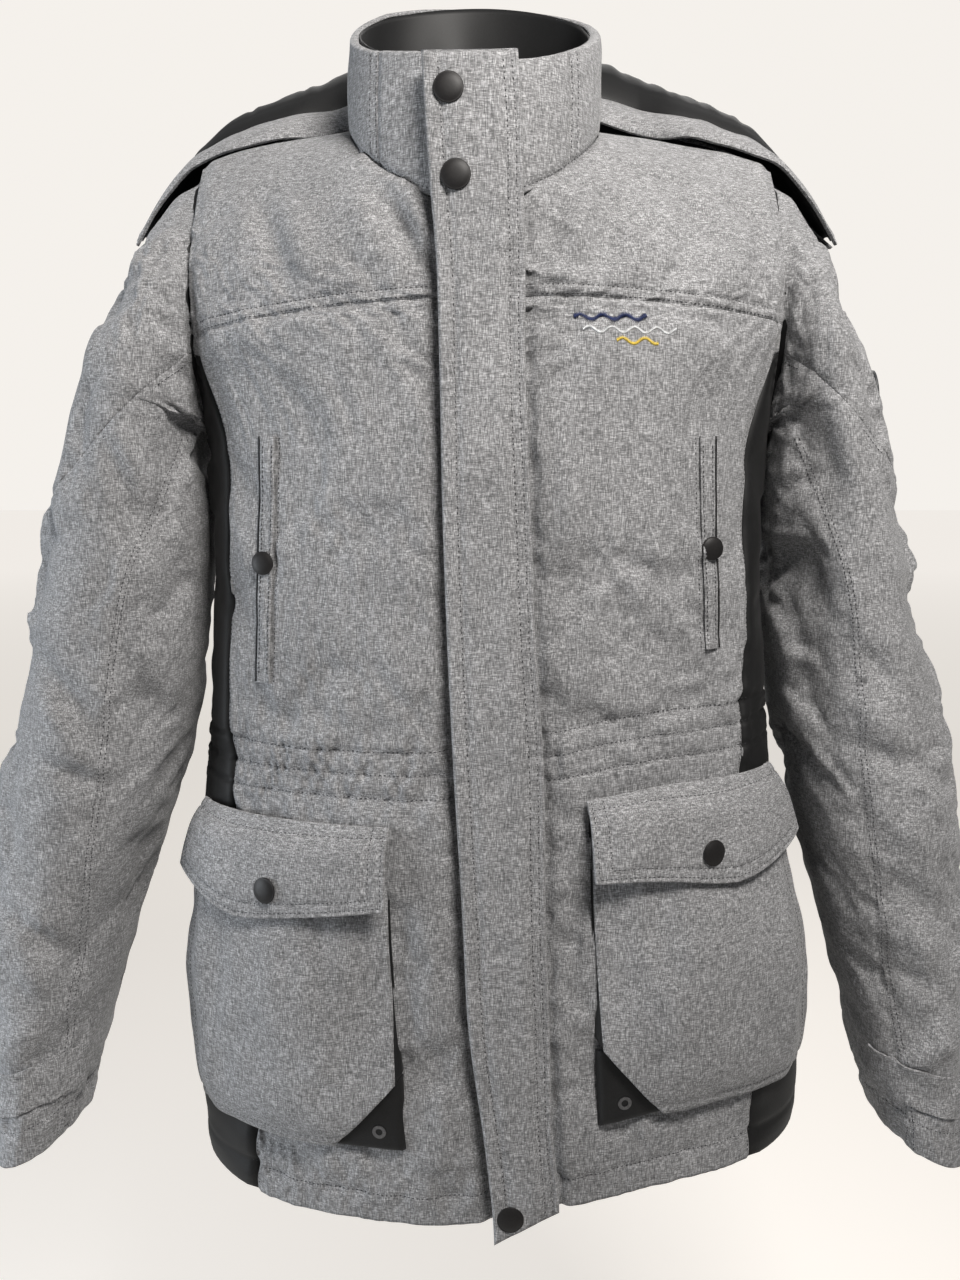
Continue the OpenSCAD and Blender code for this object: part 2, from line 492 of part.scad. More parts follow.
front_panel(1);  // front_panel_left
front_panel(-1);  // front_panel_right
front_yoke(1);  // front_yoke_left
front_yoke(-1);  // front_yoke_right
back_panel();
back_yoke();
side_panel(1);  // side_panel_left
side_panel(-1);  // side_panel_right
body_insulation();
body_lining();
hem_facing();
waist_channel(1);  // waist_channel_left
waist_channel(-1);  // waist_channel_right
waist_channel_back();
collar_front(1);  // collar_front_left
collar_front(-1);  // collar_front_right
collar_back();
collar_lining();
hanger_loop();
zip_tape(1);  // zip_tape_left
zip_tape(-1);  // zip_tape_right
zip_teeth(1);  // zip_teeth_left
zip_teeth(-1);  // zip_teeth_right
zip_slider();
zip_pull();
wind_guard();
storm_flap();
flap_snap_caps();
flap_snap_sockets();
flap_snap_studs();
cargo_pocket(1);  // cargo_pocket_left
cargo_pocket(-1);  // cargo_pocket_right
pocket_gusset(1);  // pocket_gusset_left
pocket_gusset(-1);  // pocket_gusset_right
eyelet(1);  // eyelet_left
eyelet(-1);  // eyelet_right
cargo_flap(1);  // cargo_flap_left
cargo_flap(-1);  // cargo_flap_right
cargo_snap_cap(1);  // cargo_snap_cap_left
cargo_snap_cap(-1);  // cargo_snap_cap_right
cargo_snap_stud(1);  // cargo_snap_stud_left
cargo_snap_stud(-1);  // cargo_snap_stud_right
welt(1);  // welt_left
welt(-1);  // welt_right
welt_snap(1);  // welt_snap_left
welt_snap(-1);  // welt_snap_right
sleeve(1);  // sleeve_left
sleeve(-1);  // sleeve_right
sleeve_cap(1);  // sleeve_cap_left
sleeve_cap(-1);  // sleeve_cap_right
sleeve_lining(1);  // sleeve_lining_left
sleeve_lining(-1);  // sleeve_lining_right
cuff_tab(1);  // cuff_tab_left
cuff_tab(-1);  // cuff_tab_right
hood_shell();
hood_lining();
hood_neck_panel();
sleeve_badge();
chest_emblem();
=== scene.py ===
"""Padded foul weather jacket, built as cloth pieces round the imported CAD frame."""
import json
from math import cos, pi, radians, sin

import bmesh
import bpy
import numpy as np
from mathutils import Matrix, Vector
from mathutils.bvhtree import BVHTree

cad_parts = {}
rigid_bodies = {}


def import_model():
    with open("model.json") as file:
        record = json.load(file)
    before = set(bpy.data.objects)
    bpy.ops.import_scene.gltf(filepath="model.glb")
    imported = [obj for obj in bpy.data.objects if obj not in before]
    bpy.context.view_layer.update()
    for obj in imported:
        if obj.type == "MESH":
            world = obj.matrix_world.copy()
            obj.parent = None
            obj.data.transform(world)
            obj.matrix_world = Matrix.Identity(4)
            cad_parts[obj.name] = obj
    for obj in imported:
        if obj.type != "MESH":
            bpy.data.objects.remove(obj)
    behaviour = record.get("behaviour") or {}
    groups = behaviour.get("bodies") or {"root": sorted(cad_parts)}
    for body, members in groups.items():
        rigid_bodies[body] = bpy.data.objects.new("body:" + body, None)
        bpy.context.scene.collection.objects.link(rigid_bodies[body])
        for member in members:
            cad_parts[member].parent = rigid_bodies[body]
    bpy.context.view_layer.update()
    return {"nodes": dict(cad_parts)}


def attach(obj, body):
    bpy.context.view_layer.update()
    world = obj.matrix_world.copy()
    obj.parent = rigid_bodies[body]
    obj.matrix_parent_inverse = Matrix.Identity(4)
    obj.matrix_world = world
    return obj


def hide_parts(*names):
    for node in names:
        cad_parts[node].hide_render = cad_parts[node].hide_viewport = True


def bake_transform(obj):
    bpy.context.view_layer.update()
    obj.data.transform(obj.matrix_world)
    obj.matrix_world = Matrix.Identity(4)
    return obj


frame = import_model()
MM = 0.001
rng = np.random.default_rng(7)

# ------------------------------------------------------------------ camera and light
cam_data = bpy.data.cameras.new("camera")
cam_data.lens = 30.94
cam_data.sensor_width = 36
camera = bpy.data.objects.new("camera", cam_data)
bpy.context.collection.objects.link(camera)
camera.location = (-0.005, -0.860, -0.225)
camera.rotation_euler = (radians(81), 0, 0)
bpy.context.scene.camera = camera


def area_light(name, place, aim, size, power, colour=(1, 1, 1)):
    data = bpy.data.lights.new(name, "AREA")
    data.shape = "RECTANGLE"
    data.size, data.size_y = size
    data.energy = power
    data.color = colour
    light = bpy.data.objects.new(name, data)
    bpy.context.collection.objects.link(light)
    light.location = place
    light.rotation_euler = (Vector(aim) - Vector(place)).to_track_quat("-Z", "Y").to_euler()
    return light


area_light("key", (0.42, -0.90, 0.72), (0.02, -0.12, -0.2), (0.5, 0.36), 30, (1.0, 0.965, 0.92))
area_light("side", (-1.7, -0.38, -0.50), (-0.3, -0.05, -0.55), (0.7, 1.0), 22, (0.88, 0.94, 1.0))
area_light("back", (0.3, 1.9, 1.3), (0, 0, -0.3), (2.0, 1.4), 24, (1.0, 0.98, 0.95))
world = bpy.data.worlds.new("world")
world.use_nodes = True
world_tree = world.node_tree
backdrop = world_tree.nodes["Background"]
backdrop.inputs[0].default_value = (0.95, 0.915, 0.87, 1)
backdrop.inputs[1].default_value = 0.96
room = world_tree.nodes.new("ShaderNodeBackground")
room.inputs[0].default_value = (0.93, 0.96, 1.0, 1)
room.inputs[1].default_value = 0.18
path = world_tree.nodes.new("ShaderNodeLightPath")
choose = world_tree.nodes.new("ShaderNodeMixShader")
world_tree.links.new(path.outputs["Is Camera Ray"], choose.inputs[0])
world_tree.links.new(room.outputs[0], choose.inputs[1])
world_tree.links.new(backdrop.outputs[0], choose.inputs[2])
world_tree.links.new(choose.outputs[0], world_tree.nodes["World Output"].inputs["Surface"])
bpy.context.scene.world = world
bpy.context.scene.view_settings.view_transform = "Standard"


# ------------------------------------------------------------------ materials
def new_material(name, roughness, **sockets):
    mat = bpy.data.materials.new(name)
    mat.use_nodes = True
    shader = mat.node_tree.nodes["Principled BSDF"]
    shader.inputs["Roughness"].default_value = roughness
    for key, value in sockets.items():
        shader.inputs[key.replace("_", " ")].default_value = value
    return mat, mat.node_tree, shader


def noise_at(tree, scale, detail=2.0, rough=0.55, distortion=0.0):
    """Noise of the object's own coordinates, with its own scale along each axis."""
    coords = tree.nodes.new("ShaderNodeTexCoord")
    mapping = tree.nodes.new("ShaderNodeMapping")
    mapping.inputs["Scale"].default_value = scale
    noise = tree.nodes.new("ShaderNodeTexNoise")
    noise.inputs["Scale"].default_value = 1.0
    noise.inputs["Detail"].default_value = detail
    noise.inputs["Roughness"].default_value = rough
    noise.inputs["Distortion"].default_value = distortion
    tree.links.new(coords.outputs["Object"], mapping.inputs["Vector"])
    tree.links.new(mapping.outputs["Vector"], noise.inputs["Vector"])
    return noise.outputs["Fac"]


def math_node(tree, kind, a, b):
    node = tree.nodes.new("ShaderNodeMath")
    node.operation = kind
    for socket, value in zip(node.inputs, (a, b)):
        if isinstance(value, (int, float)):
            socket.default_value = value
        else:
            tree.links.new(value, socket)
    return node.outputs[0]


def ramp(tree, fac, stops):
    node = tree.nodes.new("ShaderNodeValToRGB")
    node.color_ramp.elements[0].position, node.color_ramp.elements[0].color = stops[0]
    node.color_ramp.elements[1].position, node.color_ramp.elements[1].color = stops[-1]
    for position, colour in stops[1:-1]:
        node.color_ramp.elements.new(position).color = colour
    tree.links.new(fac, node.inputs["Fac"])
    return node.outputs["Color"]


def bump(tree, shader, height, strength, distance):
    node = tree.nodes.new("ShaderNodeBump")
    node.inputs["Strength"].default_value = strength
    node.inputs["Distance"].default_value = distance
    tree.links.new(height, node.inputs["Height"])
    tree.links.new(node.outputs["Normal"], shader.inputs["Normal"])


def grey(value, tint=(1, 1, 1)):
    return (value * tint[0], value * tint[1], value * tint[2], 1)


def melange(name, level=1.0, tint=(1.0, 1.0, 1.025)):
    """Heathered plain weave: light and dark slubs along the warp and the weft."""
    mat, tree, shader = new_material(name, 0.85, Sheen_Weight=0.12, Sheen_Roughness=0.5)
    weft = noise_at(tree, (250, 250, 1600), 2.0, 0.6)
    warp = noise_at(tree, (1500, 1500, 190), 2.0, 0.6)
    slub = noise_at(tree, (1100, 1100, 1100), 1.0, 0.5)
    broad = noise_at(tree, (16, 16, 10), 3.0, 0.6)
    mix = math_node(tree, "ADD", math_node(tree, "MULTIPLY", weft, 0.44),
        math_node(tree, "MULTIPLY", warp, 0.48))
    mix = math_node(tree, "ADD", mix, math_node(tree, "MULTIPLY", slub, 0.05))
    mix = math_node(tree, "ADD", mix, math_node(tree, "MULTIPLY", broad, 0.07))
    colour = ramp(tree, mix, [
        (0.38, grey(0.07 * level, tint)), (0.475, grey(0.14 * level, tint)), (0.53, grey(0.21 * level, tint)),
        (0.585, grey(0.305 * level, tint)), (0.67, grey(0.49 * level, tint))])
    tree.links.new(colour, shader.inputs["Base Color"])
    bump(tree, shader, math_node(tree, "ADD", weft, warp), 0.3, 0.0005)
    return mat


def dark_cloth(name, level, roughness, sheen=0.1, weave=900, bump_by=0.25):
    mat, tree, shader = new_material(name, roughness, Sheen_Weight=sheen, Specular_IOR_Level=0.3)
    fine = noise_at(tree, (weave, weave, weave), 2.0, 0.6)
    broad = noise_at(tree, (22, 22, 22), 2.0, 0.5)
    mix = math_node(tree, "ADD", math_node(tree, "MULTIPLY", fine, 0.7),
        math_node(tree, "MULTIPLY", broad, 0.3))
    colour = ramp(tree, mix, [(0.3, grey(level * 0.6)), (0.5, grey(level, (1, 1, 1.04))),
        (0.75, grey(level * 1.9, (1, 1, 1.06)))])
    tree.links.new(colour, shader.inputs["Base Color"])
    bump(tree, shader, fine, bump_by, 0.0004)
    return mat


def solid_finish(name, colour, roughness, metallic=0.0, grain=400, grain_by=0.08):
    mat, tree, shader = new_material(name, roughness, Metallic=metallic)
    fine = noise_at(tree, (grain, grain, grain), 3.0, 0.6)
    shade = ramp(tree, fine, [(0.3, tuple(c * 0.75 for c in colour) + (1,)),
        (0.7, tuple(min(1, c * 1.25) for c in colour) + (1,))])
    tree.links.new(shade, shader.inputs["Base Color"])
    bump(tree, shader, fine, grain_by, 0.0003)
    return mat


M_SHELL = melange("melange_shell")
M_PANEL = dark_cloth("black_panel", 0.006, 0.6, 0.02)
M_LINING = dark_cloth("black_lining", 0.0075, 0.55, 0.03, 1400, 0.12)
M_TAPE = dark_cloth("zip_tape", 0.012, 0.75, 0.1, 1200)
M_SNAP = solid_finish("snap_black", (0.010, 0.009, 0.009), 0.5, 0.0, 900, 0.05)
M_SNAP.node_tree.nodes["Principled BSDF"].inputs["Specular IOR Level"].default_value = 0.28
M_METAL = solid_finish("dark_plated_metal", (0.16, 0.16, 0.165), 0.32, 1.0, 700, 0.04)
M_TEETH = solid_finish("moulded_teeth", (0.02, 0.02, 0.021), 0.35)
M_THREAD = solid_finish("grey_thread", (0.022, 0.022, 0.025), 0.8)
M_NAVY = solid_finish("navy_thread", (0.012, 0.022, 0.085), 0.6)
M_WHITE = solid_finish("white_thread", (0.62, 0.63, 0.64), 0.6)
M_YELLOW = solid_finish("yellow_thread", (0.62, 0.45, 0.06), 0.6)
M_BADGE = solid_finish("badge_rubber", (0.02, 0.021, 0.024), 0.5, 0.0, 500, 0.1)
floor_mat, floor_tree, floor_shader = new_material("floor", 0.9)
floor_shader.inputs["Base Color"].default_value = (0.80, 0.775, 0.74, 1)
floor_shader.inputs["Specular IOR Level"].default_value = 0.0
# Painted light: the floor glows for camera rays only, darker near the jacket as painted shade and paler further away.
floor_coords = floor_tree.nodes.new("ShaderNodeTexCoord")
floor_reach = floor_tree.nodes.new("ShaderNodeVectorMath")
floor_reach.operation = "LENGTH"
floor_tree.links.new(floor_coords.outputs["Object"], floor_reach.inputs[0])
floor_painted_light = ramp(floor_tree, math_node(floor_tree, "MULTIPLY", floor_reach.outputs["Value"], 0.06),
                  [(0.10, (0.40, 0.37, 0.34, 1)), (0.30, (0.60, 0.565, 0.52, 1)),
                  (0.8, (0.74, 0.70, 0.655, 1))])
floor_tree.links.new(floor_painted_light, floor_shader.inputs["Emission Color"])
floor_path = floor_tree.nodes.new("ShaderNodeLightPath")
floor_tree.links.new(floor_path.outputs["Is Camera Ray"], floor_shader.inputs["Emission Strength"])

# ------------------------------------------------------------------ the jacket's measures, in mm
HEM, HITCH, ARMPIT, YOKE = 765.0, 27.0, -200.0, -125.0
POWER, BODY_Y, SEAM_X, BACK_SEAM_X = 2.3, -5.0, 186.0, 150.0
HALF = np.array([[-765, 240], [-600, 240], [-520, 229], [-440, 216], [-380, 212], [-300, 209], [-200, 208]],
    float)
BACK = np.array([[-765, 116], [-600, 110], [-520, 98], [-440, 86], [-300, 98], [-200, 110]], float)
CF_TOP, CF_LOW = np.array([-10, -118, 30.0]), np.array([20, -146, -765.0])
CF_LENGTH = float(np.linalg.norm(CF_TOP - CF_LOW))
NECK = (-9.0, -30.0)
ARM_X, ARM_Y, ARM_Z = 207.6, -8.0, -110.0
WAIST = (-419.0, -435.0, -452.0)
# storm flap edges: height along the closure, right-hand edge, left-hand edge
FLAP_EDGES = np.array([[-808, -15.2, 32], [-780, -15.4, 32], [-735, -18.6, 29.5], [-640, -27.4, 29.4],
    [-570, -28.2, 29.2], [-450, -30.3, 30.9],
                       [-370, -30.9, 28.3], [-280, -30.3, 27.9], [-190, -28.4, 27.5], [-120, -27.8, 29.6],
                       [-80, -29.7, 29.8], [-50, -30.7, 30.6], [3, -31.7, 28.9]])


def smooth(t):
    t = np.clip(t, 0, 1)
    return t * t * (3 - 2 * t)


def mix(a, b, t):
    return a + (b - a) * t


def spow(v, p):
    return np.sign(v) * np.abs(v) ** p


def curve_at(keys, z):
    """A smooth curve through keys, by cubic Hermite pieces."""
    keys = np.asarray(keys, float)
    x, y = keys[:, 0], keys[:, 1:]
    slope = np.gradient(y, x, axis=0)
    z = np.clip(np.asarray(z, float), x[0], x[-1])
    i = np.clip(np.searchsorted(x, z, side="right") - 1, 0, len(x) - 2)
    h = (x[i + 1] - x[i])[..., None]
    t = ((z - x[i]) / (x[i + 1] - x[i]))[..., None]
    out = ((2 * t ** 3 - 3 * t ** 2 + 1) * y[i] + (t ** 3 - 2 * t ** 2 + t) * h * slope[i]
           + (-2 * t ** 3 + 3 * t ** 2) * y[i + 1] + (t ** 3 - t ** 2) * h * slope[i + 1])
    return out[..., 0] if out.shape[-1] == 1 else out


def sway(z):
    return 12 * smooth((-450 - z) / 315)


def lift(x, z):
    return HITCH * smooth((x + 60) / 200) * smooth((ARMPIT - z) / 220)


def front_y(z):
    return CF_LOW[1] + (CF_TOP[1] - CF_LOW[1]) * (z - CF_LOW[2]) / (CF_TOP[2] - CF_LOW[2])


def cf_x(z):
    return CF_LOW[0] + (CF_TOP[0] - CF_LOW[0]) * (z - CF_LOW[2]) / (CF_TOP[2] - CF_LOW[2])


def body(u, z, off=0.0):
    """A point of the body below the armpit, at u degrees round from the front to the wearer's left."""
    u, z = np.broadcast_arrays(np.radians(np.asarray(u, float)), np.asarray(z, float))
    a = curve_at(HALF, z) + off
    b = np.where(np.cos(u) > 0, BODY_Y - front_y(z), curve_at(BACK, z) - BODY_Y) + off
    x = a * spow(np.sin(u), 2 / POWER)
    y = BODY_Y - b * spow(np.cos(u), 2 / POWER)
    return np.stack([x + sway(z), y, z + lift(x, z)], -1)


def u_of_x(x, z):
    return np.degrees(np.arcsin(np.clip(spow(x / curve_at(HALF, z), POWER / 2), -1, 1)))


def front(x, z, off=0.0):
    return body(u_of_x(np.asarray(x, float), np.asarray(z, float)), z, off)


def neck(u, off=0.0):
    r = np.radians(np.asarray(u, float))
    depth = np.where(np.cos(r) > 0, 91, 78) + off
    return np.stack([NECK[0] + (88 + off) * np.sin(r), NECK[1] - depth * np.cos(r),
                     22 - 77 * ((1 + np.cos(r)) / 2) ** 2.5], -1)


def collar_top(u, off=0.0):
    r = np.radians(np.asarray(u, float))
    depth = np.where(np.cos(r) > 0, 88, 80) + off
    return np.stack([NECK[0] + (87 + off) * np.sin(r), NECK[1] - depth * np.cos(r), 75 - 45 * np.cos(r)], -1)


def shoulder(u, t, off=0.0):
    u, t = np.broadcast_arrays(np.asarray(u, float), np.asarray(t, float))
    r = np.radians(u)
    c = np.cos(r)
    ring = np.stack([(266 + off) * spow(np.sin(r), 0.8),
                     BODY_Y - (np.where(c > 0, 119, 117) + off) * spow(c, 1.25),
                     off - 5 - np.where(c > 0, 125, -57) * c], -1)
    w0, w1, w2 = (1 - t) ** 2, 6 * t * (1 - t), t * t
    total = (w0 + w1 + w2)[..., None]
    return ((w0[..., None] * body(u, np.full(u.shape, ARMPIT), off) + w1[..., None] * ring
        + w2[..., None] * neck(u, off)) / total)


def closure_turn():
    tilt_x = -np.arctan((CF_TOP[1] - CF_LOW[1]) / (CF_TOP[2] - CF_LOW[2]))
    tilt_y = np.arctan((CF_TOP[0] - CF_LOW[0]) / np.hypot(CF_TOP[1] - CF_LOW[1], CF_TOP[2] - CF_LOW[2]))
    rx = np.array([[1, 0, 0], [0, cos(tilt_x), -sin(tilt_x)], [0, sin(tilt_x), cos(tilt_x)]])
    ry = np.array([[cos(tilt_y), 0, sin(tilt_y)], [0, 1, 0], [-sin(tilt_y), 0, cos(tilt_y)]])
    return ry @ rx


CLOSURE_TURN = closure_turn()


def cf(x, y, z):
    """A point in the closure's own frame: x across, -y outward, z up the zip from its top."""
    x, y, z = np.broadcast_arrays(*(np.asarray(v, float) for v in (x, y, z)))
    return CF_TOP + np.stack([x, y, z], -1) @ CLOSURE_TURN.T


# ------------------------------------------------------------------ mesh helpers
def link(name, mesh, material):
    obj = bpy.data.objects.new(name, mesh)
    bpy.context.collection.objects.link(obj)
    if material:
        mesh.materials.append(material)
    return obj


def grid_faces(rows, cols, wrap=False):
    r = np.arange(rows - 1)[:, None] * cols
    c = np.arange(cols if wrap else cols - 1)[None, :]
    d = (c + 1) % cols
    quads = np.stack([r + c, r + d, r + cols + d, r + cols + c], -1)
    return quads.reshape(-1, 4)


def mesh_of(name, points, faces):
    mesh = bpy.data.meshes.new(name)
    mesh.from_pydata((np.asarray(points).reshape(-1, 3) * MM).tolist(), [],
        [tuple(int(i) for i in f) for f in faces])
    mesh.polygons.foreach_set("use_smooth", [True] * len(mesh.polygons))
    mesh.update()
    return mesh


def grid(name, points, material, wrap=False, flip=False):
    points = np.asarray(points)
    faces = grid_faces(points.shape[0], points.shape[1], wrap)
    return link(name, mesh_of(name, points, faces[:, ::-1] if flip else faces), material)


def apply_modifiers(obj):
    bpy.context.view_layer.update()
    evaluated = obj.evaluated_get(bpy.context.evaluated_depsgraph_get())
    mesh = bpy.data.meshes.new_from_object(evaluated, preserve_all_data_layers=True,
        depsgraph=bpy.context.evaluated_depsgraph_get())
    old = obj.data
    obj.modifiers.clear()
    obj.data = mesh
    bpy.data.meshes.remove(old)
    return obj


def solid(obj, thickness, offset=-1.0, bevel=0.0, levels=0):
    """Gives a cloth surface its thickness, and rounds its edges if asked."""
    mod = obj.modifiers.new("solid", "SOLIDIFY")
    mod.thickness = thickness * MM
    mod.offset = offset
    mod.use_even_offset = False
    if bevel:
        mod = obj.modifiers.new("bevel", "BEVEL")
        mod.width = bevel * MM
        mod.segments = 2
        mod.limit_method = "ANGLE"
        mod.angle_limit = radians(50)
    if levels:
        mod = obj.modifiers.new("sub", "SUBSURF")
        mod.levels = mod.render_levels = levels
    apply_modifiers(obj)
    obj.data.polygons.foreach_set("use_smooth", [True] * len(obj.data.polygons))
    return obj


def normals(points, wrap=False):
    if wrap:
        du = np.roll(points, -1, 1) - np.roll(points, 1, 1)
    else:
        du = np.gradient(points, axis=1)
    dv = np.gradient(points, axis=0)
    n = np.cross(du, dv)
    return n / np.maximum(np.linalg.norm(n, axis=-1, keepdims=True), 1e-9)


def resample(field, rows, cols, wrap=False):
    """A coarse grid of values, taken smoothly to a finer grid."""
    if wrap:
        field = np.concatenate([field[:, -2:], field, field[:, :3]], 1)
    out = field
    for axis, n in ((0, rows), (1, cols)):
        size = out.shape[axis] - (5 if wrap and axis == 1 else 0)
        pos = np.linspace(0, size if wrap and axis == 1 else size - 1, n, endpoint=not (wrap and axis == 1))
        if wrap and axis == 1:
            pos = pos + 2
        i = np.clip(np.floor(pos).astype(int), 0, out.shape[axis] - 2)
        t = (pos - i).reshape([-1 if a == axis else 1 for a in range(out.ndim)])
        take = lambda k: np.take(out, np.clip(i + k, 0, out.shape[axis] - 1), axis)
        p0, p1, p2, p3 = take(-1), take(0), take(1), take(2)
        out = (0.5 * (2 * p1 + (p2 - p0) * t + (2 * p0 - 5 * p1 + 4 * p2 - p3) * t ** 2
            + (3 * p1 - p0 - 3 * p2 + p3) * t ** 3))
    return out


def field(rows, cols, cells_down, cells_across, seed):
    """A smooth random field, about -1 to 1."""
    return resample(np.random.default_rng(seed).normal(0, 0.55, (cells_down, cells_across))[..., None],
        rows, cols)[..., 0]


def settle(points, held, wrap=False, grow=0.04, pressure=1.5, cap=6.0, frames=14, seed=1, flip=False):
    """Cloth simulation of a padded skin that is a little larger than the space between its held seams.
    Returns how far each point moves, in mm."""
    local = np.random.default_rng(seed)
    start = (points + normals(points, wrap) * local.normal(0, 0.35, points.shape[:2])[..., None]
        * (1 - held[..., None]))
    obj = grid("cloth", start, None, wrap, flip)
    group = obj.vertex_groups.new(name="held")
    flat = held.reshape(-1)
    for i in np.nonzero(flat > 0.01)[0]:
        group.add([int(i)], float(flat[i]), "REPLACE")
    mod = obj.modifiers.new("cloth", "CLOTH")
    s = mod.settings
    s.quality = 6
    s.mass = 0.25
    s.tension_stiffness = s.compression_stiffness = 22
    s.shear_stiffness = 8
    s.bending_stiffness = 0.7
    s.air_damping = 2
    s.vertex_group_mass = "held"
    s.pin_stiffness = 20
    s.shrink_min = -grow
    s.effector_weights.gravity = 0
    s.use_pressure = True
    s.uniform_pressure_force = pressure
    mod.collision_settings.use_collision = False
    scene = bpy.context.scene
    mod.point_cache.frame_start, mod.point_cache.frame_end = 1, frames
    for f in range(1, frames + 1):
        scene.frame_set(f)
    out = np.empty(points.size)
    obj.evaluated_get(bpy.context.evaluated_depsgraph_get()).data.vertices.foreach_get("co", out)
    scene.frame_set(1)
    mesh = obj.data
    bpy.data.objects.remove(obj)
    bpy.data.meshes.remove(mesh)
    move = out.reshape(points.shape) / MM - points
    n = normals(points, wrap)
    n = n * np.sign(((points - points.mean((0, 1))) * n).sum(-1).mean())
    proud = (move * n).sum(-1)
    move = move - n * proud[..., None]
    size = np.linalg.norm(move, axis=-1, keepdims=True)
    return move * np.minimum(1, cap / np.maximum(size, 1e-6)) + n * np.clip(proud, -0.4 * cap, cap)[..., None]


def lathe(name, profile, material, sides=40):
    """A round piece from (radius, height) pairs, standing on +Z at the origin, in mm."""
    profile = np.asarray(profile, float)
    a = np.linspace(0, 2 * pi, sides, endpoint=False)
    pts = np.stack([profile[:, :1] * np.cos(a), profile[:, :1] * np.sin(a),
        np.repeat(profile[:, 1:], sides, 1)], -1)
    return grid(name, pts, material, wrap=True)


def place(obj, at, outward):
    """Bakes obj into the row frame with its +Z along outward."""
    rot = Vector(outward).to_track_quat("Z", "Y").to_matrix().to_4x4()
    rot.translation = Vector(at) * MM
    obj.data.transform(rot)
    return obj


# stitches, gathered by body: lists of vertices and faces
THREADS = {}
# one stitch has six points: two ends, two sides, a top and a foot
STITCH_FACES = [(0, 2, 4), (0, 4, 3), (1, 4, 2), (1, 3, 4), (0, 5, 2), (0, 3, 5), (1, 2, 5), (1, 5, 3)]


def stitch(key, path, normal_of, pitch=3.3, length=2.7, width=0.95, height=0.45, sink=0.15):
    """Runs a row of stitches along path, lying on the cloth whose normals normal_of gives."""
    path = np.asarray(path, float)
    seg = np.linalg.norm(np.diff(path, axis=0), axis=1)
    run = np.concatenate([[0], np.cumsum(seg)])
    if run[-1] < pitch:
        return
    n = int(run[-1] / pitch)
    s = (np.arange(n) + 0.5) * run[-1] / n
    take = lambda v: np.stack([np.interp(v, run, path[:, k]) for k in range(3)], -1)
    a, b, m = take(s - length / 2), take(s + length / 2), take(s)
    verts, faces = THREADS.setdefault(key, ([], []))
    for pa, pb, pm in zip(a, b, m):
        up = normal_of(pm)
        d = pb - pa
        side = np.cross(up, d)
        side = side / max(np.linalg.norm(side), 1e-9) * width / 2
        base = len(verts)
        low = up * -sink
        verts.extend([pa + low, pb + low, pm + side, pm - side, pm + up * height, pm - up * height])
        faces.extend([(base + a, base + b, base + c) for a, b, c in STITCH_FACES])


class Cloth:
    """Lets paths be laid on finished cloth: nearest point and normal."""

    def __init__(self, *objects):
        verts, faces = [], []
        for obj in objects:
            base = len(verts)
            verts.extend(v.co.copy() for v in obj.data.vertices)
            faces.extend([base + i for i in p.vertices] for p in obj.data.polygons)
        self.tree = BVHTree.FromPolygons(verts, faces)

    def drop(self, point, toward):
        """Where a ray from outside meets the cloth, going along toward."""
        d = Vector(toward).normalized()
        start = Vector(point) * MM - d * 0.12
        hit = self.tree.ray_cast(start, d, 0.6)
        if hit[0] is None:
            return None, None
        n = hit[1] if hit[1].dot(d) < 0 else -hit[1]
        return np.array(hit[0]) / MM, np.array(n)

    def lay(self, path, toward):
        pts = [self.drop(p, toward) for p in path]
        return np.array([p for p, n in pts if p is not None])

    def near(self, path):
        out = []
        for p in path:
            hit = self.tree.find_nearest(Vector(p) * MM)
            out.append(np.array(hit[0]) / MM)
        return np.array(out)

    def normal(self, outward):
        def at(p):
            hit = self.tree.find_nearest(Vector(p) * MM)
            n = np.array(hit[1])
            return n if n @ outward(p) > 0 else -n
        return at


# ------------------------------------------------------------------ torso
LOW_ROWS, HIGH_ROWS = 236, 112
COLS = (132, 28, 132, 28, 132)


def torso_params(k):
    """Columns u and rows of the torso, k times coarser than the finest grid."""
    low = np.linspace(-HEM, ARMPIT, LOW_ROWS // k)
    high = np.linspace(0, 1, HIGH_ROWS // k)[1:]
    gap = 8.0
    scan = np.linspace(-25, 25, 201)

    def gap_u(z, t, side):
        if t is None:
            return float(u_of_x(cf_x(z) - sway(z) + side * gap, z))
        pts = shoulder(scan, np.full(scan.shape, t))
        return float(np.interp(0, pts[:, 0] - cf_x(pts[:, 2]) - side * gap, scan))

    rows = []
    for z, t in [(z, None) for z in low] + [(ARMPIT, t) for t in high]:
        seam = float(u_of_x(SEAM_X, z))
        back = 180 - float(u_of_x(BACK_SEAM_X, z))
        marks = [gap_u(z, t, 1), seam, back, 360 - back, 360 - seam, 360 + gap_u(z, t, -1)]
        us = [np.linspace(marks[i], marks[i + 1], COLS[i] // k + 1)[(0 if i == 0 else 1):] for i in range(5)]
        rows.append(np.concatenate(us))
    return low, high, np.array(rows)


def torso_points(k, off=0.0):
    low, high, us = torso_params(k)
    a = body(us[:len(low)], np.repeat(low[:, None], us.shape[1], 1), off)
    b = shoulder(us[len(low):], np.repeat(high[:, None], us.shape[1], 1), off)
    return np.concatenate([a, b], 0), us, len(low)


coarse, coarse_u, coarse_low = torso_points(4)
fine, fine_u, fine_low = torso_points(1)


def soften_armpit(points, n_low, passes):
    """Eases the change of slope at the armpit line."""
    out = points.copy()
    for _ in range(passes):
        mid = (np.roll(out, 1, 0) + np.roll(out, -1, 0)) / 2
        w = np.exp(-((np.arange(len(out)) - n_low) / (0.05 * len(out))) ** 2)[:, None, None] * 0.5
        w[0] = w[-1] = 0
        out = out + (mid - out) * w
    return out


coarse = soften_armpit(coarse, coarse_low, 12)
fine = soften_armpit(fine, fine_low, 30)


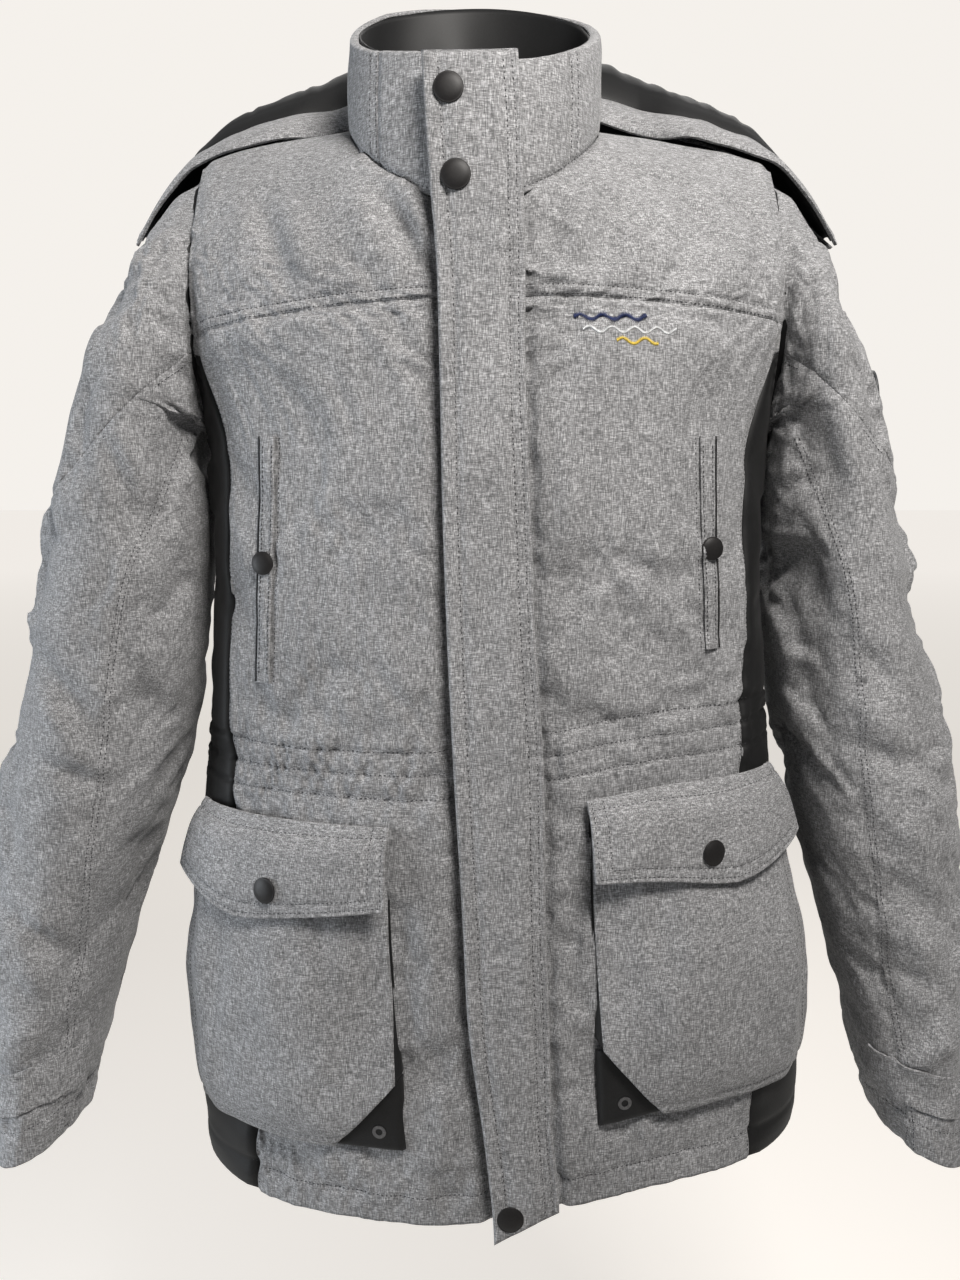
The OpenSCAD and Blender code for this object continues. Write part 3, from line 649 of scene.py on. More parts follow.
def torso_hold(points):
    rows, cols = points.shape[:2]
    held = np.zeros((rows, cols))
    held[0], held[-1] = 1.0, 1.0
    held[1], held[-2] = 0.4, 0.6
    held[:, :2] = held[:, -2:] = 1.0
    x, z = points[..., 0], points[..., 2]
    held = np.maximum(held, ((np.abs(x) > 207.5) & (z > ARMPIT + 4)).astype(float))
    for level, width in ((-435, 6.0), (-122, 3.0), (-735, 4.0)):
        held = np.maximum(held, 0.5 * np.exp(-((z - level) / width) ** 2))
    return held


move = settle(coarse, torso_hold(coarse), grow=0.035, pressure=1.0, cap=5.0, frames=12, seed=3)
calm = 0.62 - 0.3 * smooth((coarse[..., 2] + 110) / 60)
fine = fine + resample(move * calm[..., None], fine.shape[0], fine.shape[1])

# sewn lines and listed folds, as depths along the inward normal
rest = fine.copy()
depth = np.zeros(fine.shape[:2])
# how far the hem's sewn line lies above its edge, mm
HEM_TURN = 21
is_front = np.cos(np.radians(fine_u)) > 0


def yoke_z(x):
    return -116.5 + 0.02 * x - 0.00034 * x * x


X, Y, Z = rest[..., 0], rest[..., 1], rest[..., 2]
for drop_by, strength, width in ((0.0, 1.6, 1.8), (7.5, 0.8, 1.4)):
    depth += is_front * strength * np.exp(-((Z - yoke_z(X) - drop_by) / width) ** 2)
    depth += (~is_front) * strength * np.exp(-((Z + 112 - drop_by) / width) ** 2)
depth += 3.2 * np.exp(-((np.abs(X) - ARM_X) / 5.0) ** 2) * smooth((Z - ARMPIT - 6) / 20)
seam_side = np.zeros(fine.shape[:2])
edges = np.cumsum((0,) + COLS)
for e in edges[1:-1]:
    col = fine[:, e:e + 1]
    seam_side = np.maximum(seam_side, np.exp(-(np.linalg.norm(fine - col, axis=-1) / 3.0) ** 2))
depth += 1.8 * seam_side
hem_height = Z - lift(X - sway(Z), Z) + HEM
depth += 1.1 * np.exp(-((hem_height - HEM_TURN) / 2.2) ** 2)
# waist channel: three sewn lines with gathers that open away from them
local_z = Z - lift(X - sway(Z), Z)
run = np.cumsum(np.linalg.norm(np.diff(fine, axis=1, prepend=fine[:, :1]), axis=-1), 1)
wobble = np.interp(run.ravel(), np.arange(0, 2000, 9.0),
    rng.normal(0, 1, len(np.arange(0, 2000, 9.0)))).reshape(run.shape)
ripple = np.sin(run * 2 * pi / 13.0 + 2.4 * wobble) * 0.7 + np.sin(run * 2 * pi / 21.0 + 3.1 * wobble) * 0.5
for level in WAIST:
    depth += 1.6 * np.exp(-((local_z - level) / 1.7) ** 2) * np.clip(1.0 + 0.3 * ripple, 0.3, 2)
zone = np.exp(-((local_z + 435) / 27) ** 2)
depth += 1.0 * ripple * zone * np.where(np.cos(np.radians(fine_u)) > 0, 1.0, 0.8)
depth += 0.9 * field(*depth.shape, 22, 60, 11) + 0.5 * field(*depth.shape, 50, 130, 12)
# soft swells and drags of padded cloth
for (ax, az, bx, bz, w, d) in [
        (-76, -36, -40, -104, 8, 4.6), (-62, -36, -28, -92, 8, -3.2), (-92, -40, -60, -112, 11, -2.6),
        (50, -46, 28, -100, 8, 4.0), (66, -44, 52, -108, 9, -3.0), (84, -40, 76, -104, 11, 2.6),
        (-160, -36, -130, -113, 9, 3.0), (-138, -40, -112, -116, 11, -2.4), (150, -44, 122, -112, 11, 2.8),
        (182, -60, 158, -116, 9, -2.4),
        (-185, -215, -150, -260, 10, 2.4), (-188, -245, -160, -300, 10, -2.0),
        (-186, -300, -165, -360, 12, 2.2),
        (-178, -380, -120, -415, 12, 2.8), (-170, -400, -110, -425, 10, -2.2),
        (-60, -398, -120, -428, 9, 2.0), (-140, -404, -60, -418, 9, -1.6),
        (170, -372, 110, -400, 12, 2.6), (160, -392, 90, -412, 9, -2.0), (60, -390, 120, -408, 9, 2.0),
        (40, -300, 44, -380, 14, -2.2),
        (178, -230, 172, -330, 10, 2.0), (60, -180, 52, -300, 16, -1.8), (-45, -200, -50, -330, 18, -1.6),
        (-110, -220, -118, -330, 18, 1.5),
        (100, -230, 112, -320, 20, -1.6), (-40, -480, -42, -640, 12, -2.6), (-55, -500, -58, -650, 10, 2.0),
        (62, -470, 60, -640, 12, 2.4),
        (50, -500, 70, -560, 10, -1.8), (-30, -650, -36, -740, 10, -2.0), (70, -640, 110, -720, 14, 2.0),
        (-150, -715, -60, -735, 12, -1.8),
        (90, -690, 190, -705, 10, -2.0), (150, -715, 210, -700, 9, 1.5), (-210, -700, -120, -728, 10, 1.8)]:
    a, b = np.array([ax, az], float), np.array([bx, bz], float)
    q = np.stack([X, Z], -1)
    dd = b - a
    t = (q - a) @ dd / (dd @ dd)
    gap = np.linalg.norm(q - (a + np.clip(t, 0, 1)[..., None] * dd), axis=-1)
    depth += is_front * 1.35 * d * np.exp(-(gap / w) ** 2) * np.sin(pi * np.clip(t, 0, 1)) ** 0.8
for (au, az, bu, bz, w, d) in [(150, -150, 168, -330, 20, 2.2), (205, -180, 190, -360, 22, -2.4),
        (165, -480, 150, -640, 22, 2.6),
                               (200, -470, 212, -650, 24, -2.4), (182, -500, 180, -700, 16, 2.0),
                               (140, -240, 160, -420, 16, -2.0),
                               (222, -260, 204, -410, 16, 2.2)]:
    a, b = np.array([au * 2.2, az], float), np.array([bu * 2.2, bz], float)
    q = np.stack([fine_u * 2.2, Z], -1)
    dd = b - a
    t = (q - a) @ dd / (dd @ dd)
    gap = np.linalg.norm(q - (a + np.clip(t, 0, 1)[..., None] * dd), axis=-1)
    depth += (~is_front) * d * np.exp(-(gap / w) ** 2) * np.sin(pi * np.clip(t, 0.04, 0.96)) ** 0.5
# the fronts sink along both edges of the storm flap
closure = (rest - CF_TOP) @ CLOSURE_TURN
flap_sides = curve_at(FLAP_EDGES, closure[..., 2])
for edge, away in ((flap_sides[..., 0], -1), (flap_sides[..., 1], 1)):
    beyond = (closure[..., 0] - edge) * away
    depth += (is_front * np.exp(-((beyond - 0.8)
        / np.where(beyond > 0.8, 6.0 if away < 0 else 4.5, 12.0)) ** 2) * (3.6 if away < 0 else 3.9))
    depth += is_front * 1.2 * np.exp(-(beyond / 14.0) ** 2)
fine = fine - normals(fine) * depth[..., None]
TORSO = fine


def cut_mesh(name, block, material, planes, armhole=True, bend=None):
    """A torso panel from a block of the grid, trimmed by planes given as (point, direction to clear).
    bend straightens a curved seam for the cut and is undone after it."""
    rows, cols = block.shape[:2]
    if bend:
        block = block - np.stack([0 * block[..., 0], 0 * block[..., 0], bend(block[..., 0])], -1)
    mesh = mesh_of(name, block, grid_faces(rows, cols))
    bm = bmesh.new()
    bm.from_mesh(mesh)
    cuts = ([((x0, 0, 0), n, True) for x0, n in ((ARM_X * MM, (1, 0, 0)), (-ARM_X * MM, (-1, 0, 0)))]
        if armhole else [])
    for co, no, high_only in cuts + [(c, n, False) for c, n in planes]:
        faces = [f for f in bm.faces if not high_only or max(v.co.z for v in f.verts) > (ARMPIT + 0.5) * MM]
        geom = list({e for f in faces for e in f.edges}) + faces + list({v for f in faces for v in f.verts})
        bmesh.ops.bisect_plane(bm, geom=geom, plane_co=co, plane_no=no, clear_outer=True, dist=1e-6)
    if bend:
        for v in bm.verts:
            v.co.z += bend(v.co.x / MM) * MM
    bm.to_mesh(mesh)
    bm.free()
    mesh.polygons.foreach_set("use_smooth", [True] * len(mesh.polygons))
    return link(name, mesh, material)


def finish_piece(obj, body_name, replaced=()):
    if replaced:
        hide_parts(*replaced)
    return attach(obj, body_name)


yoke_cut = YOKE * MM
above, below = ((0, 0, yoke_cut), (0, 0, -1)), ((0, 0, yoke_cut), (0, 0, 1))
# the height of the seam between back yoke and back panel, mm
BACK_YOKE = -112.0
back_cut = BACK_YOKE * MM
back_above, back_below = ((0, 0, back_cut), (0, 0, -1)), ((0, 0, back_cut), (0, 0, 1))
e = edges
yoke_bend = lambda x: yoke_z(x) - YOKE
torso_pieces = {}
side_top = {c: int(np.argmax(TORSO[:, c, 2] > -152)) for c in (e[1], e[4])}
M1, M3 = e[1] + COLS[1] // 2, e[3] + COLS[3] // 2
BLOCKS = {
    "front_left": (M_SHELL, [below], ["front_panel_left", "waist_channel_left"],
    [(0, side_top[e[1]], e[0], e[1]), (side_top[e[1]], None, e[0], M1)]),
    "front_right": (M_SHELL, [below], ["front_panel_right", "waist_channel_right"],
    [(0, side_top[e[4]], e[4], e[5]), (side_top[e[4]], None, M3, e[5])]),
    "yoke_front_left": (M_SHELL, [above], ["front_yoke_left"], [(fine_low - 1, None, e[0], M1)]),
    "yoke_front_right": (M_SHELL, [above], ["front_yoke_right"], [(fine_low - 1, None, M3, e[5])]),
    "back_lower": (M_SHELL, [back_below], ["back_panel", "waist_channel_back", "body_insulation"],
                   [(0, side_top[e[1]], e[2], e[3]), (side_top[e[1]], None, M1, M3)]),
    "back_yoke_piece": (M_SHELL, [back_above], ["back_yoke"], [(fine_low - 1, None, M1, M3)]),
    "side_left": (M_PANEL, [], ["side_panel_left"], [(0, side_top[e[1]], e[1], e[2])]),
    "side_right": (M_PANEL, [], ["side_panel_right"], [(0, side_top[e[1]], e[3], e[4])])}
for name, (mat, planes, nodes, blocks) in BLOCKS.items():
    parts = [cut_mesh(name, TORSO[r0:None if r1 is None else r1 + 1, c0:c1 + 1], mat, planes,
        bend=yoke_bend if "front" in name else None)
             for r0, r1, c0, c1 in blocks]
    obj = parts[0]
    if len(parts) > 1:
        bm = bmesh.new()
        for part in parts:
            bm.from_mesh(part.data)
        bmesh.ops.remove_doubles(bm, verts=bm.verts, dist=2e-6)
        bm.to_mesh(obj.data)
        bm.free()
        bpy.data.objects.remove(parts[1])
        obj.data.polygons.foreach_set("use_smooth", [True] * len(obj.data.polygons))
    solid(obj, 1.5)
    torso_pieces[name] = obj
TORSO_CLOTH = Cloth(*torso_pieces.values())
for name, (mat, planes, nodes, blocks) in BLOCKS.items():
    finish_piece(torso_pieces[name], "jacket_body", nodes)

out_from_axis = lambda p: np.array([p[0], p[1] - BODY_Y, 0.0])
front_out = lambda p: np.array([0, -1.0, 0])
torso_normal = TORSO_CLOTH.normal(out_from_axis)


def torso_front(path):
    return TORSO_CLOTH.lay(path, (0, 1, 0))


def torso_back(path):
    return TORSO_CLOTH.lay(path, (0, -1, 0))


# lining, smooth and quilted in wide channels
lin, lin_u, lin_low = torso_points(4, -8.6)
lin = lin[2:]
lin_u = lin_u[2:]
quilt = 1.6 * np.abs(np.sin((lin[..., 2] + 765) * pi / 90)) ** 0.5
lin = lin - normals(lin) * (1.6 - quilt)[..., None] * -1.0
lining = cut_mesh("body_lining_piece", lin, M_LINING, [])
solid(lining, 1.2)
finish_piece(lining, "jacket_body", ["body_lining"])
# hem facing, turned up inside
hem_z = np.linspace(-HEM + 1, -HEM + 24, 6)
hem_u = fine_u[0]
facing = body(np.repeat(hem_u[None], 6, 0), np.repeat(hem_z[:, None], len(hem_u), 1), -4.2)
hem = grid("hem_facing_piece", facing, M_SHELL)
solid(hem, 2.6)
finish_piece(hem, "jacket_body", ["hem_facing"])

# ------------------------------------------------------------------ collar
def ring_rows(point, ts, offs, us):
    return np.array([point(us, t, o) for t, o in zip(ts, offs)])


def collar_point(u, t, off):
    return mix(neck(u, off), collar_top(u, off), t)


collar_marks = [5.2, 46, 314, 354.8]
collar_cols = (44, 220, 44)
collar_u = np.concatenate([np.linspace(collar_marks[i], collar_marks[i + 1],
    collar_cols[i] + 1)[(0 if i == 0 else 1):] for i in range(3)])
up = np.linspace(-0.03, 0.965, 46)
roll = np.linspace(0, pi, 9)[1:]
ts = np.concatenate([up, 0.965 + 0.035 * np.sin(roll)])
offs = np.concatenate([np.zeros(len(up)), -3.5 + 3.5 * np.cos(roll)])
collar_grid = ring_rows(collar_point, ts, offs, collar_u)
wave = field(len(ts), len(collar_u), 5, 16, 21)
crown = 1.6 * np.sin(pi * np.clip(ts, 0, 1)) ** 0.6
across = np.zeros(len(collar_u))
for mark in collar_marks[1:3]:
    across += (1.5 * np.exp(-((collar_u - mark) / 1.9) ** 2)
        + 0.6 * np.exp(-((collar_u - mark - (3.5 if mark < 180 else -3.5)) / 1.5) ** 2))
seam_low = 1.4 * np.exp(-((ts - 0.0) / 0.035) ** 2)
push = crown[:, None] + 1.5 * wave * np.clip(ts, 0.1, 1)[:, None] - across[None] - seam_low[:, None]
radial = np.stack([np.sin(np.radians(collar_u)), -np.cos(np.radians(collar_u)), 0 * collar_u], -1)[None]
collar_grid = collar_grid + radial * push[..., None]
collar_grid[..., 2] += (1.6 * np.interp(collar_u, np.linspace(0, 360, 15),
    np.random.default_rng(5).normal(0, 1, 15))[None] * np.clip(ts, 0, 1)[:, None] ** 3)
b = np.cumsum((0,) + collar_cols)
collar_pieces = []
for name, c0, c1, nodes in (("collar_left", b[0], b[1], ["collar_front_left"]),
        ("collar_rear", b[1], b[2], ["collar_back"]),
                            ("collar_right", b[2], b[3], ["collar_front_right"])):
    piece = grid(name, collar_grid[:, c0:c1 + 1], M_SHELL)
    solid(piece, 1.4)
    collar_pieces.append(piece)
COLLAR_CLOTH = Cloth(*collar_pieces)
for piece, nodes in zip(collar_pieces, (["collar_front_left"], ["collar_back"], ["collar_front_right"])):
    finish_piece(piece, "jacket_body", nodes)
inner_u = np.linspace(8, 352, 150)
inner_t = np.linspace(0.985, -0.02, 26)
inner = ring_rows(collar_point, inner_t, -6.6 - 0.9 * np.sin(np.linspace(0, pi, 26)), inner_u)
inner = (inner + np.stack([np.sin(np.radians(inner_u)), -np.cos(np.radians(inner_u)), 0 * inner_u],
    -1)[None] * (1.0 * field(26, 150, 4, 20, 22))[..., None])
piece = grid("collar_inner", inner, M_LINING, flip=True)
solid(piece, 1.0)
finish_piece(piece, "jacket_body", ["collar_lining"])
collar_out = lambda p: np.array([p[0] - NECK[0], p[1] - NECK[1], 0.0])
collar_normal = COLLAR_CLOTH.normal(collar_out)
for mark, sgn in ((46, 1), (314, -1)):
    for shift in (1.6, 4.6):
        col = int(np.argmin(np.abs(collar_u - (mark + sgn * shift))))
        stitch("jacket_body", collar_grid[3:46, col], collar_normal)
stitch("jacket_body", collar_grid[2, 6:-6], collar_normal)

# hanger loop
ang = np.linspace(0, pi, 25)
loop = np.stack([NECK[0] - 30 * np.cos(ang), 49 - 6.5 - 9 * np.sin(ang) ** 0.8, 36 - 2 * np.sin(ang)], -1)
loop_grid = np.array([loop + np.array([0, 0, h]) for h in (-3, 0, 3)])
piece = grid("hanger_loop_tape", loop_grid, M_LINING)
solid(piece, 1.4, 0)
finish_piece(piece, "jacket_body", ["hanger_loop"])

# ------------------------------------------------------------------ storm flap and zip
flap_rows, flap_half = 230, 30
fz = np.linspace(-800, 2, flap_rows)
sides = curve_at(FLAP_EDGES, fz)
w = np.linspace(0, 1, flap_half)
w = 0.5 - 0.5 * np.cos(pi * w) * (0.75 + 0.25 * np.cos(pi * w) ** 2)
fx = sides[:, :1] + (sides[:, 1:] - sides[:, :1]) * w[None]
zz = fz[:, None] + (-4 + 21 * w[None]) * smooth((-690 - fz[:, None]) / 110)
edge_gap = np.minimum(fx - sides[:, :1], sides[:, 1:] - fx)
end_gap = np.minimum(2 - fz[:, None], fz[:, None] + 800) + 0 * zz
gap_all = np.minimum(edge_gap, np.maximum(end_gap, 0) * 1.0)
shape = np.sqrt(np.clip(1 - (1 - np.clip(gap_all / 2.0, 0, 1)) ** 2, 0, 1))
left_in, right_in = fx - sides[:, :1], sides[:, 1:] - fx
seams = (np.exp(-((left_in - 10) / 1.4) ** 2) + np.exp(-((right_in - 4.5) / 1.1) ** 2)
    + np.exp(-((right_in - 10) / 1.3) ** 2))
pucker = np.sin(zz * 2 * pi / 9 + 3 * field(flap_rows, flap_half, 90, 3, 31))
thick = shape * (3.4 + 1.7 * np.clip(np.minimum(left_in - 10, right_in - 10) / 8, 0, 1) ** 0.7
    + 0.9 * field(flap_rows, flap_half, 26, 4, 32)
                 + 0.45 * field(flap_rows, flap_half, 70, 6,
                 35)) - 1.5 * seams - 0.4 * pucker * (np.exp(-((left_in - 10) / 6) ** 2)
                 + np.exp(-((right_in - 10) / 5) ** 2)) * shape
for wz0, wz1, wl, wr, wide, deep in ((-112, -121, 0.25, 1.0, 3.0, 2.2), (-119, -112, 0.3, 0.95, 3.4, -1.6),
        (-98, -92, 0.1, 0.7, 4.0, 1.2), (-330, -345, 0.2, 0.9, 6.0, 0.9),
                                     (-470, -455, 0.1, 0.8, 6.0, 0.9), (-560, -580, 0.2, 0.9, 7.0, -0.9),
                                     (-640, -628, 0.1, 0.8, 6.0, 0.9)):
    along_w = np.clip((w[None] - wl) / (wr - wl), 0, 1)
    thick = (thick - deep * np.exp(-((zz - mix(wz0, wz1, along_w) + 5 * np.sin(pi * along_w)) / wide) ** 2)
        * np.sin(pi * along_w) ** 0.7 * shape)
stand = 4.4 + 2.4 * (1 - w[None]) ** 1.5 + (0.8 + 1.1 * field(flap_rows, 1, 16, 2, 33)) * (1 - w[None]) ** 3
front_face = cf(fx, -(stand + thick), zz)
back_face = cf(fx, -(stand - 0.2 * shape), zz)
flap_grid = np.concatenate([front_face, back_face[:, ::-1]], 1)


def closed_end(row):
    mid = (row[:flap_half] + row[flap_half:][::-1]) / 2
    return np.concatenate([mid, mid[::-1]], 0)[None]
flap_grid = np.concatenate([closed_end(flap_grid[0]), flap_grid, closed_end(flap_grid[-1])], 0)
flap = grid("storm_flap_pad", flap_grid, M_SHELL, wrap=True, flip=True)
FLAP_CLOTH = Cloth(flap)
finish_piece(flap, "storm_flap", ["storm_flap"])
flap_normal = FLAP_CLOTH.normal(front_out)
for inset, src in ((10, "left"), (4.5, "right"), (10, "right")):
    xs = sides[:, 0] + inset if src == "left" else sides[:, 1] - inset
    path = FLAP_CLOTH.lay(cf(xs, -30, fz)[4:-2], (0, 1, 0))
    stitch("storm_flap", path, flap_normal, pitch=3.6, length=2.6)


def snap(name, at, outward, body_name, radius, nodes=(), height=2.7):
    k = radius / 9.4
    profile = [(0.01, height), (2.5 * k, height - 0.03), (5 * k, height - 0.28), (7 * k, height - 0.78),
        (8.3 * k, height - 1.35), (8.6 * k, height - 1.5),
               (8.9 * k, height - 1.42), (9.3 * k, height - 1.6), (9.4 * k, height - 2.0), (9.3 * k, 0.0),
               (8.6 * k, -0.6), (0.01, -0.6)]
    cap = lathe(name, profile, M_SNAP, 56)
    place(cap, at, outward)
    if nodes:
        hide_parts(*nodes)
    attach(cap, body_name)
    return cap


for i, (sx, sz) in enumerate(((-15.5, -23), (-13, -75), (-3, -784))):
    at, n = FLAP_CLOTH.drop(cf(sx, -40, sz), (0, 1, 0))
    snap("flap_cap_%d" % i, at, (0, -1, 0.035), "storm_flap", 9.6, ["flap_snap_caps"] if i == 0 else ())

tape_z = np.linspace(-CF_LENGTH + 4, -4, 60)
for side, tag in ((1, "left"), (-1, "right")):
    tape = grid("zip_tape_cloth_" + tag, cf(np.array([3, 8, 13.5])[None] * side, 3.0, tape_z[:, None]),
        M_TAPE, flip=side < 0)
    solid(tape, 0.7, 0)
    finish_piece(tape, "jacket_body", ["zip_tape_" + tag])
guard_z = np.linspace(-CF_LENGTH + 14, -96, 60)
guard = grid("wind_guard_pad", cf(np.linspace(-16.5, 16.5, 9)[None],
    7.4 - 0.6 * np.cos(np.linspace(-1, 1, 9) * pi)[None], guard_z[:, None]), M_LINING)
solid(guard, 1.4, 0)
finish_piece(guard, "jacket_body", ["wind_guard"])

# ------------------------------------------------------------------ sleeves
RINGS = [[208.7, -8, -110, 0, 88, 66]]
for lean, half_w, half_d in ((10, 77, 74), (24, 66, 80), (44, 54, 82), (80, 46, 82)):
    RINGS.append([211.5 + (3 + half_w) * sin(radians(lean)), -5, -200 + (3 + half_w) * cos(radians(lean)),
        lean, half_w, half_d])
RINGS = np.array(RINGS + [[270, -8, -274, 95, 51, 81], [282, -13, -359, 97, 58, 80],
    [296, -20, -437, 99, 61, 78], [313, -28, -516, 101, 56, 74],
                          [328, -36, -588, 103, 48, 70], [338, -43, -648, 105, 40, 66],
                          [344, -49, -700, 108, 35, 61], [349, -54, -738, 111, 33, 58]])
RING_KEYS = np.column_stack([np.arange(len(RINGS)), RINGS])


def ring_point(s, a, off=0.0):
    """Sleeve surface for the wearer's left: s counts rings from the armhole, a is 0 at the top and 90 at the back."""
    s, a = np.broadcast_arrays(np.asarray(s, float), np.radians(np.asarray(a, float)))
    r = curve_at(RING_KEYS, s)
    lean = np.radians(r[..., 3])
    wide = (r[..., 4] + off) * spow(np.cos(a), 2 / 2.15)
    deep = (r[..., 5] + off) * spow(np.sin(a), 2 / 2.15)
    return np.stack([r[..., 0] + wide * np.sin(lean), r[..., 1] + deep, r[..., 2] + wide * np.cos(lean)], -1)


def armhole_radius(side, angles):
    """Distance from the armhole's middle to the torso's cut edge, at each angle."""
    found = []
    for p, q in ((TORSO[:, :-1], TORSO[:, 1:]), (TORSO[:-1], TORSO[1:])):
        d0, d1 = p[..., 0] * side - ARM_X, q[..., 0] * side - ARM_X
        hit = (d0 * d1 < 0) & (p[..., 2] > ARMPIT - 3)
        t = (d0 / (d0 - d1))[hit][:, None]
        found.append(p[hit] * (1 - t) + q[hit] * t)
    found = np.concatenate(found)
    dy, dz = found[:, 1] - ARM_Y, found[:, 2] - ARM_Z
    a = np.degrees(np.arctan2(dy, dz)) % 360
    r = np.hypot(dy, dz)
    bins = np.arange(0, 360, 6)
    mean = np.array([np.median(r[np.abs((a - b0 + 180) % 360 - 180) < 5])
        if np.any(np.abs((a - b0 + 180) % 360 - 180) < 5) else np.nan for b0 in bins])
    ok = ~np.isnan(mean)
    return np.interp(angles, np.concatenate([bins[ok] - 360, bins[ok], bins[ok] + 360]), np.tile(mean[ok], 3))


steps = np.linspace(0, len(RINGS) - 1, 400)
mid_line = (ring_point(steps, 0) + ring_point(steps, 180)) / 2 * 0.5 + ring_point(steps, 0) * 0.5
run_s = np.concatenate([[0], np.cumsum(np.linalg.norm(np.diff(mid_line, axis=0), axis=1))])
SLEEVE_LENGTH = run_s[-1]


def sleeve_surface(side, rows, cols, off=0.0):
    """Rows from the armhole to the cuff; returns points, arc distance of each row and angles."""
    d = np.linspace(0, SLEEVE_LENGTH, rows)
    s = np.interp(d, run_s, steps)
    a = np.arange(cols) * 360 / cols
    pts = ring_point(s[:, None], a[None], off)
    start = ring_point(np.zeros(cols), a, off)
    r = armhole_radius(side, a) + off
    loop = np.stack([np.full(cols, ARM_X), ARM_Y + r * np.sin(np.radians(a)),
        ARM_Z + r * np.cos(np.radians(a))], -1)
    fade = 1 - smooth(s / 2.2)
    pts = pts + (loop - start)[None] * fade[:, None, None]
    z = pts[..., 2]
    shift = -13 * smooth((-380 - z) / 320) if side > 0 else 5 * smooth((-380 - z) / 320)
    pts[..., 0] += shift
    pts[..., 0] *= side
    return pts, d, s, a


FOLDS_RIGHT = [(-265, -205, -243, -280, 8, 3.6), (-256, -196, -236, -262, 8, -2.6),
    (-237, -245, -226, -312, 7, 3.0), (-246, -250, -234, -320, 8, -2.4),
               (-314, -368, -283, -410, 9, 4.2), (-318, -390, -292, -424, 9, -3.4),
               (-309, -440, -276, -454, 9, 4.4), (-320, -418, -282, -438, 10, -3.0),
               (-350, -548, -322, -566, 8, 3.4), (-330, -562, -306, -584, 7, 4.2),
               (-307, -574, -309, -606, 6, 3.0), (-346, -580, -318, -606, 11, -3.6),
               (-340, -668, -294, -628, 9, 3.4), (-352, -650, -306, -612, 10, -3.0),
               (-360, -300, -330, -350, 14, 2.6), (-340, -250, -312, -310, 14, -2.4),
               (-355, -470, -330, -540, 14, 2.2), (-372, -560, -350, -640, 12, -2.4),
               (-345, -690, -312, -704, 8, 2.4), (-290, -480, -276, -560, 12, -2.2),
               (-262, -330, -246, -420, 12, 2.2), (-250, -100, -226, -170, 12, 2.4),
               (-272, -120, -262, -200, 12, -2.0)]
FOLDS_LEFT = [(232, -190, 248, -262, 9, 3.6), (240, -182, 262, -240, 9, -2.6),
    (228, -262, 240, -330, 8, 3.2), (250, -280, 262, -352, 10, -2.6),
              (262, -352, 296, -386, 9, 4.0), (258, -386, 300, -420, 10, -3.2),
              (268, -424, 312, -440, 9, 4.0), (282, -468, 320, -500, 11, -3.0),
              (290, -520, 330, -548, 9, 4.0), (296, -556, 334, -580, 10, -3.4),
              (302, -592, 336, -606, 8, 3.6), (310, -640, 344, -610, 10, 3.0),
              (306, -664, 350, -640, 10, -3.0), (318, -700, 348, -680, 8, 2.4),
              (300, -280, 318, -360, 14, 2.4), (322, -360, 336, -450, 14, -2.4),
              (340, -520, 350, -600, 12, 2.4), (252, -100, 268, -170, 12, 2.4),
              (238, -110, 246, -180, 12, -2.2)]
SEAM_RIGHT = [(-214, -196), (-221, -222), (-250, -302), (-276, -450), (-301, -595), (-316, -689),
    (-322, -745)]
SEAM_LEFT = [(214, -196), (224, -222), (250, -302), (270, -450), (293, -595), (310, -689), (316, -745)]
SEAM_KEYS = {1: SEAM_LEFT, -1: SEAM_RIGHT}
SLEEVE_CLOTH = {}
# how far out each sleeve reaches, from the shoulder down
OUTLINE = {1: [(-740, 370), (-600, 373), (-515, 367), (-392, 345), (-236, 305), (-124, 270), (-60, 246)],
           -1: [(-740, 378), (-600, 386), (-515, 384), (-392, 361), (-236, 320), (-124, 283), (-60, 254)]}


def reach_of(points):
    """How far out the sleeve comes at each height."""
    heights = np.arange(-740, -50, 20.0)
    x, z = np.abs(points[..., 0]), points[..., 2]
    far = np.array([x[np.abs(z - h) < 12].max() if np.any(np.abs(z - h) < 12) else np.nan for h in heights])
    return heights[~np.isnan(far)], far[~np.isnan(far)]


def slim(points, reach, side):
    """Draws the sleeve in or out, measured from the armhole, until it meets its outline."""
    x, z = np.abs(points[..., 0]), points[..., 2]
    far = np.interp(z, *reach)
    k = np.clip((curve_at(OUTLINE[side], z) - ARM_X) / (far - ARM_X), 0.6, 1.15)
    out = points.copy()
    out[..., 0] = side * np.where(x > ARM_X, ARM_X + (x - ARM_X) * k, x)
    return out



